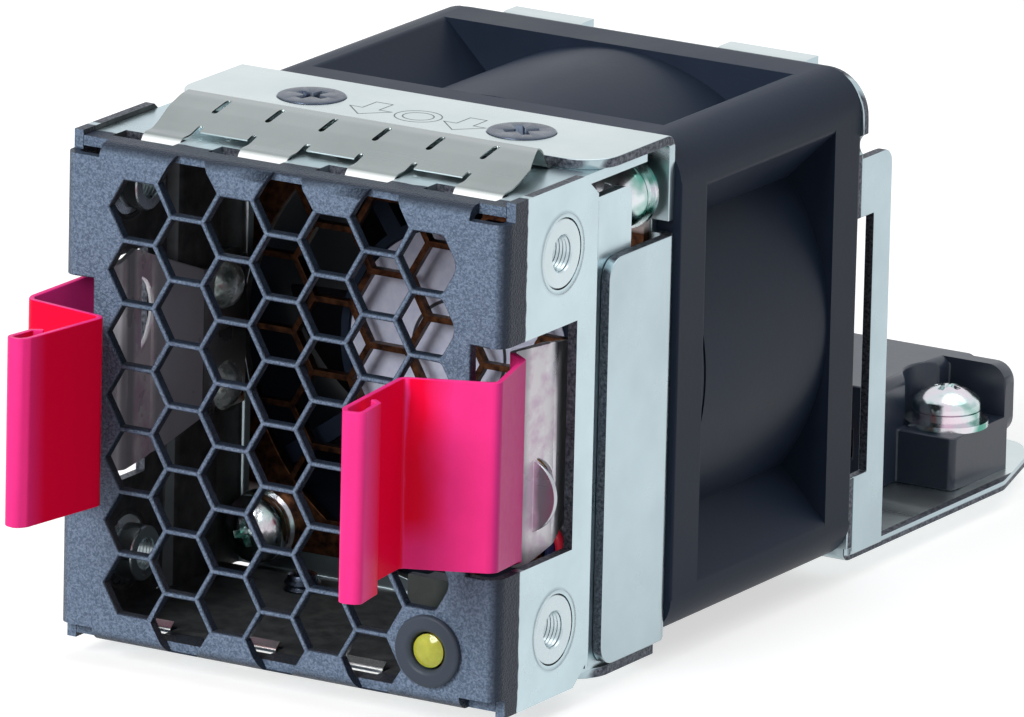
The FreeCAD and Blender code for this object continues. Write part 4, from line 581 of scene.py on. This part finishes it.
def sharp_edges(mesh, fits):
    """Indices of a mesh's edges between faces that differ by more than SHARP; split corners count as one."""
    spots = {}
    one = [spots.setdefault(tuple(round(c, 6) for c in v.co), v.index) for v in mesh.vertices]
    sides = {}
    for polygon in mesh.polygons:
        loop = [one[i] for i in polygon.vertices]
        for pair in zip(loop, loop[1:] + loop[:1]):
            sides.setdefault(frozenset(pair), []).append(polygon.normal.copy())
    limit = math.cos(math.radians(SHARP))
    sharp = {key for key, n in sides.items() if len(key) == 2 and len(n) == 2 and n[0].dot(n[1]) < limit
             and fits([mesh.vertices[i].co for i in key], n)}
    return [e.index for e in mesh.edges if frozenset((one[e.vertices[0]], one[e.vertices[1]])) in sharp]


def crowded(shown, shell, width):
    """Spots where a rounding fails: corners that stray off the surface and faces turned inside out."""
    spots = []
    for v in shown.vertices:
        far = shell.find_nearest(v.co)[3]
        if far > STRAY * width:
            spots.append((v.co.copy(), 2 * far + STRAY_ROOM))
    shown.calc_loop_triangles()
    for triangle in shown.loop_triangles:
        a, b, c = (shown.vertices[i].co for i in triangle.vertices)
        normal = (b - a).cross(c - a)
        if normal.length > SPECK:
            near = shell.find_nearest_range((a + b + c) / 3, 1.5 * width)
            if near and all(hit[1].dot(normal) < 0 for hit in near):
                spots += [(corner.copy(), FLIP_ROOM) for corner in (a, b, c)]
    return spots


def front_rim(ends, normals):
    """Edges of the cover's front face: those on its bends keep the bends' own smooth shading."""
    return all(end.y < FRONT + 0.000005 for end in ends)


def square(ends, normals):
    """Edges between flat walls that stand square to the axes."""
    return all(max(abs(part) for part in n) > 0.9999 for n in normals)


def soften(name, width, fits=lambda ends, normals: True):
    """Rounds a node's sharp edges; an edge too crowded for its rounding stays as it is."""
    obj = nodes[name]
    mesh = obj.data
    weight = mesh.attributes.new("bevel_weight_edge", "FLOAT", "EDGE")
    for index in sharp_edges(mesh, fits):
        weight.data[index].value = 1.0
    weld = obj.modifiers.new("weld", "WELD")
    weld.merge_threshold = 0.000002
    merge = obj.modifiers.new("merge", "DECIMATE")
    merge.decimate_type = "DISSOLVE"
    merge.angle_limit = math.radians(0.6)
    bevel = obj.modifiers.new("bevel", "BEVEL")
    bevel.width = width
    bevel.segments = SEGMENTS
    bevel.limit_method = "WEIGHT"
    bevel.use_clamp_overlap = False
    bevel.loop_slide = False
    bevel.harden_normals = True
    shell = BVHTree.FromPolygons([v.co for v in mesh.vertices], [p.vertices for p in mesh.polygons])
    for _ in range(TRIES):
        bpy.context.view_layer.update()
        shown = obj.evaluated_get(bpy.context.evaluated_depsgraph_get())
        spots = crowded(shown.to_mesh(), shell, width)
        shown.to_mesh_clear()
        if not spots:
            break
        for edge in mesh.edges:
            if weight.data[edge.index].value:
                ends = [mesh.vertices[i].co for i in edge.vertices]
                ends.append((ends[0] + ends[1]) / 2)
                if any((end - co).length < room for co, room in spots for end in ends):
                    weight.data[edge.index].value = 0.0
        obj.update_tag()


soften("front_cover", 0.0002, front_rim)
soften("fan_frame", 0.00025, square)
for name, width in (("fan_bracket", 0.00008), ("rear_bracket", 0.00008), ("connector_housing", 0.0002),
                    ("latch_right", 0.0001), ("latch_left", 0.0001), ("fan_guard", 0.00005),
                    ("led_bezel", 0.00015)):
    soften(name, width)


# ---- wires, each in its own colour ----------------------------------------------------------------------
def paint_wires(name, colors):
    """Gives each separate wire of a node its own finish, in the order of the wires' lanes."""
    mesh = nodes[name].data
    root = list(range(len(mesh.vertices)))

    def find(i):
        while root[i] != i:
            root[i] = root[root[i]]
            i = root[i]
        return i

    seen = {}
    for v in mesh.vertices:
        root[find(v.index)] = find(seen.setdefault(tuple(round(c, 6) for c in v.co), v.index))
    for polygon in mesh.polygons:
        for i in polygon.vertices[1:]:
            root[find(i)] = find(polygon.vertices[0])
    lanes = {}
    # the wires lie side by side along the fan and behind it
    for v in mesh.vertices:
        if at(0, 40, 0).y < v.co.y < at(0, 50, 0).y or v.co.y > at(0, 55, 0).y:
            lanes.setdefault(find(v.index), []).append(v.co.x)
    order = sorted(lanes, key=lambda key: sum(lanes[key]) / len(lanes[key]))
    mesh.materials.clear()
    for k, color in enumerate(colors):
        mesh.materials.append(wire_finish(f"{name}_{k}", color))
    for polygon in mesh.polygons:
        polygon.material_index = order.index(find(polygon.vertices[0]))


paint_wires("fan_leads", [(0.02, 0.025, 0.10), (0.45, 0.010, 0.03), (0.02, 0.02, 0.024), (0.55, 0.30, 0.03)])
paint_wires("led_leads", [(0.02, 0.02, 0.024), (0.42, 0.012, 0.02)])


# ---- fine pieces ------------------------------------------------------------------------------------------
def mesh_of(bm, name):
    """The mesh data of a BMesh, which is freed."""
    mesh = bpy.data.meshes.new(name)
    bm.to_mesh(mesh)
    bm.free()
    return mesh


def piece(name, mesh, material, node=None):
    """A smooth-shaded piece on the tray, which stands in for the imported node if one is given."""
    obj = bpy.data.objects.new(name, mesh)
    scene.collection.objects.link(obj)
    mesh.materials.clear()
    mesh.materials.append(material)
    for polygon in mesh.polygons:
        polygon.use_smooth = True
    mesh.set_sharp_from_angle(angle=math.radians(38))
    if node:
        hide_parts(node)
    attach(obj, "tray")
    return obj


def lathe(profile, steps=64):
    """Closed turned body: profile gives (radius, height) in millimetres from the axis out and back to it."""
    bm = bmesh.new()
    rings = []
    for r, h in profile:
        if r < 1e-6:
            rings.append([bm.verts.new((0, 0, h / 1000))])
        else:
            rings.append([bm.verts.new((r / 1000 * math.cos(2 * math.pi * k / steps),
                                        r / 1000 * math.sin(2 * math.pi * k / steps), h / 1000))
                          for k in range(steps)])
    pairs = list(zip(rings, rings[1:]))
    if len(rings[0]) > 1:
        pairs.append((rings[-1], rings[0]))
    for a, b in pairs:
        for k in range(steps):
            n = (k + 1) % steps
            if len(a) == 1:
                bm.faces.new((a[0], b[n], b[k]))
            elif len(b) == 1:
                bm.faces.new((a[k], a[n], b[0]))
            else:
                bm.faces.new((a[k], a[n], b[n], b[k]))
    bmesh.ops.recalc_face_normals(bm, faces=bm.faces)
    return bm


def cross_cutter(top, depth, half_long, half_wide):
    """Tapered cross-recess punch: four wings that narrow downwards, round a square pilot."""
    bm = bmesh.new()
    for turn_by in (0.0, math.pi / 2):
        corners = []
        for h, reach, wide in ((top + 0.6, half_long * 1.12, half_wide * 1.15),
                               (top - depth, half_long * 0.34, half_wide * 0.75)):
            for sx, sy in ((-1, -1), (1, -1), (1, 1), (-1, 1)):
                corners.append(bm.verts.new((sx * reach / 1000, sy * wide / 1000, h / 1000)))
        for face in ((0, 1, 2, 3), (7, 6, 5, 4), (4, 5, 1, 0), (5, 6, 2, 1), (6, 7, 3, 2), (7, 4, 0, 3)):
            bm.faces.new([corners[i] for i in face])
        bmesh.ops.rotate(bm, verts=corners, cent=(0, 0, 0), matrix=Matrix.Rotation(turn_by, 3, "Z"))
    pilot = half_wide * 1.75
    mesh = mesh_of(lathe([(0, top + 0.6), (pilot * 1.1, top + 0.6), (pilot * 0.9, top - depth * 1.05),
                          (0, top - depth * 1.3)], 24), "pilot")
    bm.from_mesh(mesh)
    bpy.data.meshes.remove(mesh)
    return bm


def screw_mesh(name, profile, top, depth, half_long, half_wide):
    """Turned screw with its cross recess cut and the recess' edges broken."""
    obj = bpy.data.objects.new(name + "_work", mesh_of(lathe(profile), name))
    scene.collection.objects.link(obj)
    punch = mesh_of(cross_cutter(top, depth, half_long, half_wide), name + "_punch")
    tool = bpy.data.objects.new(name + "_punch", punch)
    scene.collection.objects.link(tool)
    cut = obj.modifiers.new("recess", "BOOLEAN")
    cut.operation = "DIFFERENCE"
    cut.object = tool
    cut.solver = "EXACT"
    cut.use_self = True
    bevel = obj.modifiers.new("edges", "BEVEL")
    bevel.width = 0.00005
    bevel.segments = 2
    bevel.limit_method = "ANGLE"
    bevel.angle_limit = math.radians(40)
    done = bpy.data.meshes.new_from_object(obj.evaluated_get(bpy.context.evaluated_depsgraph_get()))
    done.name = name
    for o in (obj, tool):
        bpy.data.objects.remove(o)
    return done


def thread(r, pitch, start, end):
    """Profile points of a threaded shank, towards its tip."""
    points = []
    h = start
    while h > end + pitch:
        points += [(r, h), (r, h - pitch * 0.1), (r * 0.86, h - pitch * 0.5), (r * 0.86, h - pitch * 0.6)]
        h -= pitch
    return points + [(r * 0.8, end + 0.2), (r * 0.5, end), (0, end)]


def set_screws(names, mesh, places, way, node, material):
    """Copies of a screw at its places; way is the direction its head points in."""
    turn_to = way.to_track_quat("Z", "Y").to_matrix().to_4x4()
    for k, (place, spin) in enumerate(places):
        copy = mesh.copy()
        copy.transform(Matrix.Translation(place) @ turn_to @ Matrix.Rotation(spin, 4, "Z"))
        piece(f"{names}_{k}", copy, material, node if k == 0 else None)
    bpy.data.meshes.remove(mesh)


def dome(r, low, high, steps=7):
    """Profile of a crowned head from its middle to its rim."""
    sphere = (r * r + (high - low) ** 2) / (2 * (high - low))
    points = []
    for k in range(steps):
        q = r * k / steps
        points.append((q, high - sphere + math.sqrt(sphere * sphere - q * q)))
    return points


def make_screws():
    """The fan, rear, connector and cover screws, each with its thread and cross recess."""
    # pan heads: crowned, with a rounded shoulder and a short flank
    pan = dome(2.2, 1.25, 2.0) + [(2.35, 1.15), (2.62, 0.9), (2.74, 0.55), (2.74, 0.12), (2.64, 0.0),
                                  (1.48, 0.0)]
    holes = [(x, z) for x in (-HOLE, HOLE) for z in (-HOLE, HOLE)]
    places = [(at(x, FAN_HEAD_Y, z), 0.3 + 0.9 * k) for k, (x, z) in enumerate(holes)]
    long_pan = screw_mesh("fan_screw", pan + thread(1.46, 0.5, -0.2, -6.5), 2.0, 1.15, 1.5, 0.3)
    set_screws("fan_screw", long_pan, places, Vector((0, -1, 0)), "fan_screws", plated)
    rear_head_r = 2.49
    rear = [(min(r, rear_head_r), h) for r, h in pan]
    places = [(at(x, REAR_HEAD_Y, z), 0.2 + 0.7 * k) for k, (x, z) in enumerate(holes)]
    short_pan = screw_mesh("rear_screw", rear + thread(1.46, 0.5, -0.2, -4.4), 2.0, 1.15, 1.4, 0.3)
    set_screws("rear_screw", short_pan, places, Vector((0, 1, 0)), "rear_screws", plated)
    lo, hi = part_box("connector_screws")
    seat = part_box("connector_spring_washers")[1].z
    tip = (lo.z - seat) * 1000
    packed_head_r = 0.00275
    x_out = (hi.x - lo.x) / 2 - packed_head_r
    y_mid = (lo.y + hi.y) / 2
    places = [(Vector((sign * x_out, y_mid, seat)), 0.5 + sign) for sign in (-1, 1)]
    ear_screw = screw_mesh("ear_screw", pan + thread(1.46, 0.5, -0.2, tip), 2.0, 1.15, 1.5, 0.3)
    set_screws("ear_screw", ear_screw, places, Vector((0, 0, 1)), "connector_screws", plated)
    # countersunk heads: flat with a fine rim
    sunk = [(0, 0.0), (2.5, 0.0), (2.66, -0.03), (2.7, -0.09), (2.68, -0.14), (1.46, -0.72)]
    lo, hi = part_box("cover_screws")
    tip = -3.2
    x_out = 0.0095
    y_mid = (lo.y + hi.y) / 2
    for sign, tag in ((1, "top"), (-1, "bottom")):
        height = hi.z if sign > 0 else lo.z
        places = [(Vector((side * x_out, y_mid, height)), 0.25 + 0.5 * side) for side in (-1, 1)]
        mesh = screw_mesh(f"cover_screw_{tag}", sunk + thread(1.46, 0.5, -0.8, tip), 0.0, 1.3, 1.62, 0.36)
        set_screws(f"cover_screw_{tag}", mesh, places, Vector((0, 0, sign)),
                   "cover_screws" if sign > 0 else None, dark_plated)


def make_nuts():
    """Flush clinch nuts: a bright ring face, a chamfered mouth and a visible thread."""
    face = [(1.52, 0.0), (2.66, 0.0), (2.77, -0.1), (2.77, -0.72), (2.2, -0.9), (2.2, -2.5), (2.1, -2.6),
            (1.3, -2.6)]
    bore = []
    h = -2.5
    while h < -0.35:
        bore += [(1.3, h), (1.42, h + 0.15)]
        h += 0.3
    bore += [(1.42, -0.12)]
    for k, (sx, z) in enumerate((sx, z) for sx in (-1, 1) for z in (-NUT_Z, NUT_Z)):
        way = Vector((sx, 0, 0)).to_track_quat("Z", "Y").to_matrix().to_4x4()
        mesh = mesh_of(lathe(face + bore, 72), "nut")
        mesh.transform(Matrix.Translation(at(sx * NUT_X, NUT_Y, z)) @ way)
        piece(f"clinch_nut_{k}", mesh, nut_steel, "clinch_nuts" if k == 0 else None)


def engraved(name, outlines, width):
    """Fine engraved lines: flat ribbons along closed outlines on the top plate, a hair above it."""
    bm = bmesh.new()
    hair = 0.000006
    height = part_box("fan_bracket")[1].z + hair
    for points in outlines:
        count = len(points)
        inner, outer = [], []
        for k, (x, y) in enumerate(points):
            before = Vector(points[k - 1])
            after = Vector(points[(k + 1) % count])
            here = Vector((x, y))
            a = (here - before).normalized()
            b = (after - here).normalized()
            normal = Vector((-a.y - b.y, a.x + b.x)).normalized()
            reach = width / 2 / max(0.35, normal.dot(Vector((-a.y, a.x))))
            for side, group in ((-1, inner), (1, outer)):
                spot = here + normal * (side * reach)
                place = at(spot.x, spot.y, 0)
                group.append(bm.verts.new((place.x, place.y, height)))
        for k in range(count):
            n = (k + 1) % count
            bm.faces.new((inner[k], inner[n], outer[n], outer[k]))
    bmesh.ops.recalc_face_normals(bm, faces=bm.faces)
    for face in bm.faces:
        if face.normal.z < 0:
            face.normal_flip()
    piece(name, mesh_of(bm, name), flat_finish("engraving", (0.13, 0.15, 0.155), 0.5, 1.0))


def block_arrow(cx, cy, length, half_head, half_shaft):
    """Outline of a block arrow that points to the front."""
    tip = cy - length / 2
    neck = tip + length * 0.48
    tail = cy + length / 2
    return [(cx, tip), (cx + half_head, neck), (cx + half_shaft, neck), (cx + half_shaft, tail),
            (cx - half_shaft, tail), (cx - half_shaft, neck), (cx - half_head, neck)]


make_screws()
make_nuts()
MARKS_Y = 18.9
ring = [[(0.55 + r * math.cos(math.radians(a)), MARKS_Y + r * 0.92 * math.sin(math.radians(a)))
         for a in range(0, 360, 6)] for r in (1.9, 1.25)]
arrows = [block_arrow(x, MARKS_Y, 4.0, 1.9, 0.75) for x in (-3.7, 4.8)]
engraved("engraved_marks", arrows + ring, 0.1)


# ---- floor, world and light ------------------------------------------------------------------------------
def ray_kinds(tree, *kinds):
    """A socket that is 1 for rays of the given kinds and 0 for the rest."""
    path = tree.nodes.new("ShaderNodeLightPath")
    last = path.outputs[f"Is {kinds[0]} Ray"]
    for kind in kinds[1:]:
        top = tree.nodes.new("ShaderNodeMath")
        top.operation = "MAXIMUM"
        tree.links.new(last, top.inputs[0])
        tree.links.new(path.outputs[f"Is {kind} Ray"], top.inputs[1])
        last = top.outputs[0]
    return last


def floor():
    """White floor that keeps the object's shadow and looks white in metal too."""
    mesh = bpy.data.meshes.new("floor")
    size = 3.0
    gap = 0.00002
    mesh.from_pydata([(-size, -size, 0), (size, -size, 0), (size, size, 0), (-size, size, 0)], [],
                     [(0, 1, 2, 3)])
    obj = bpy.data.objects.new("floor", mesh)
    obj.location.z = cad_box[0].z - gap
    scene.collection.objects.link(obj)
    mat = bpy.data.materials.new("floor_white")
    mat.use_nodes = True
    tree = mat.node_tree
    tree.nodes.clear()
    out = tree.nodes.new("ShaderNodeOutputMaterial")
    diffuse = tree.nodes.new("ShaderNodeBsdfDiffuse")
    diffuse.inputs[0].default_value = (0.62, 0.62, 0.62, 1)
    glow = tree.nodes.new("ShaderNodeEmission")
    glow.inputs[0].default_value = (1, 1, 1, 1)
    seen = ray_kinds(tree, "Camera", "Glossy")
    power = tree.nodes.new("ShaderNodeMath")
    power.operation = "MULTIPLY"
    power.inputs[1].default_value = 0.62
    tree.links.new(seen, power.inputs[0])
    tree.links.new(power.outputs[0], glow.inputs[1])
    add = tree.nodes.new("ShaderNodeAddShader")
    tree.links.new(diffuse.outputs[0], add.inputs[0])
    tree.links.new(glow.outputs[0], add.inputs[1])
    tree.links.new(add.outputs[0], out.inputs[0])
    mesh.materials.append(mat)


def world():
    """Soft surround that lights the object dimly and looks white itself."""
    w = bpy.data.worlds.new("studio")
    scene.world = w
    w.use_nodes = True
    tree = w.node_tree
    tree.nodes.clear()
    out = tree.nodes.new("ShaderNodeOutputWorld")
    shade = tree.nodes.new("ShaderNodeBackground")
    shade.inputs[0].default_value = (0.96, 0.98, 1.0, 1)
    seen = ray_kinds(tree, "Camera", "Glossy", "Transmission")
    level = tree.nodes.new("ShaderNodeMapRange")
    level.inputs["To Min"].default_value = 0.26
    level.inputs["To Max"].default_value = 1.0
    tree.links.new(seen, level.inputs["Value"])
    tree.links.new(level.outputs[0], shade.inputs[1])
    tree.links.new(shade.outputs[0], out.inputs[0])


def lamp(name, direction, strength, angle):
    """Broad soft lamp that shines the same all over the floor, from the given direction."""
    data = bpy.data.lights.new(name, "SUN")
    data.energy = strength
    data.angle = math.radians(angle)
    obj = bpy.data.objects.new(name, data)
    scene.collection.objects.link(obj)
    obj.rotation_euler = Vector(direction).to_track_quat("Z", "Y").to_euler()


floor()
world()
lamp("key", (-0.13, -0.86, 0.48), 2.6, 28)
lamp("top", (0.25, 0.15, 0.95), 0.8, 50)
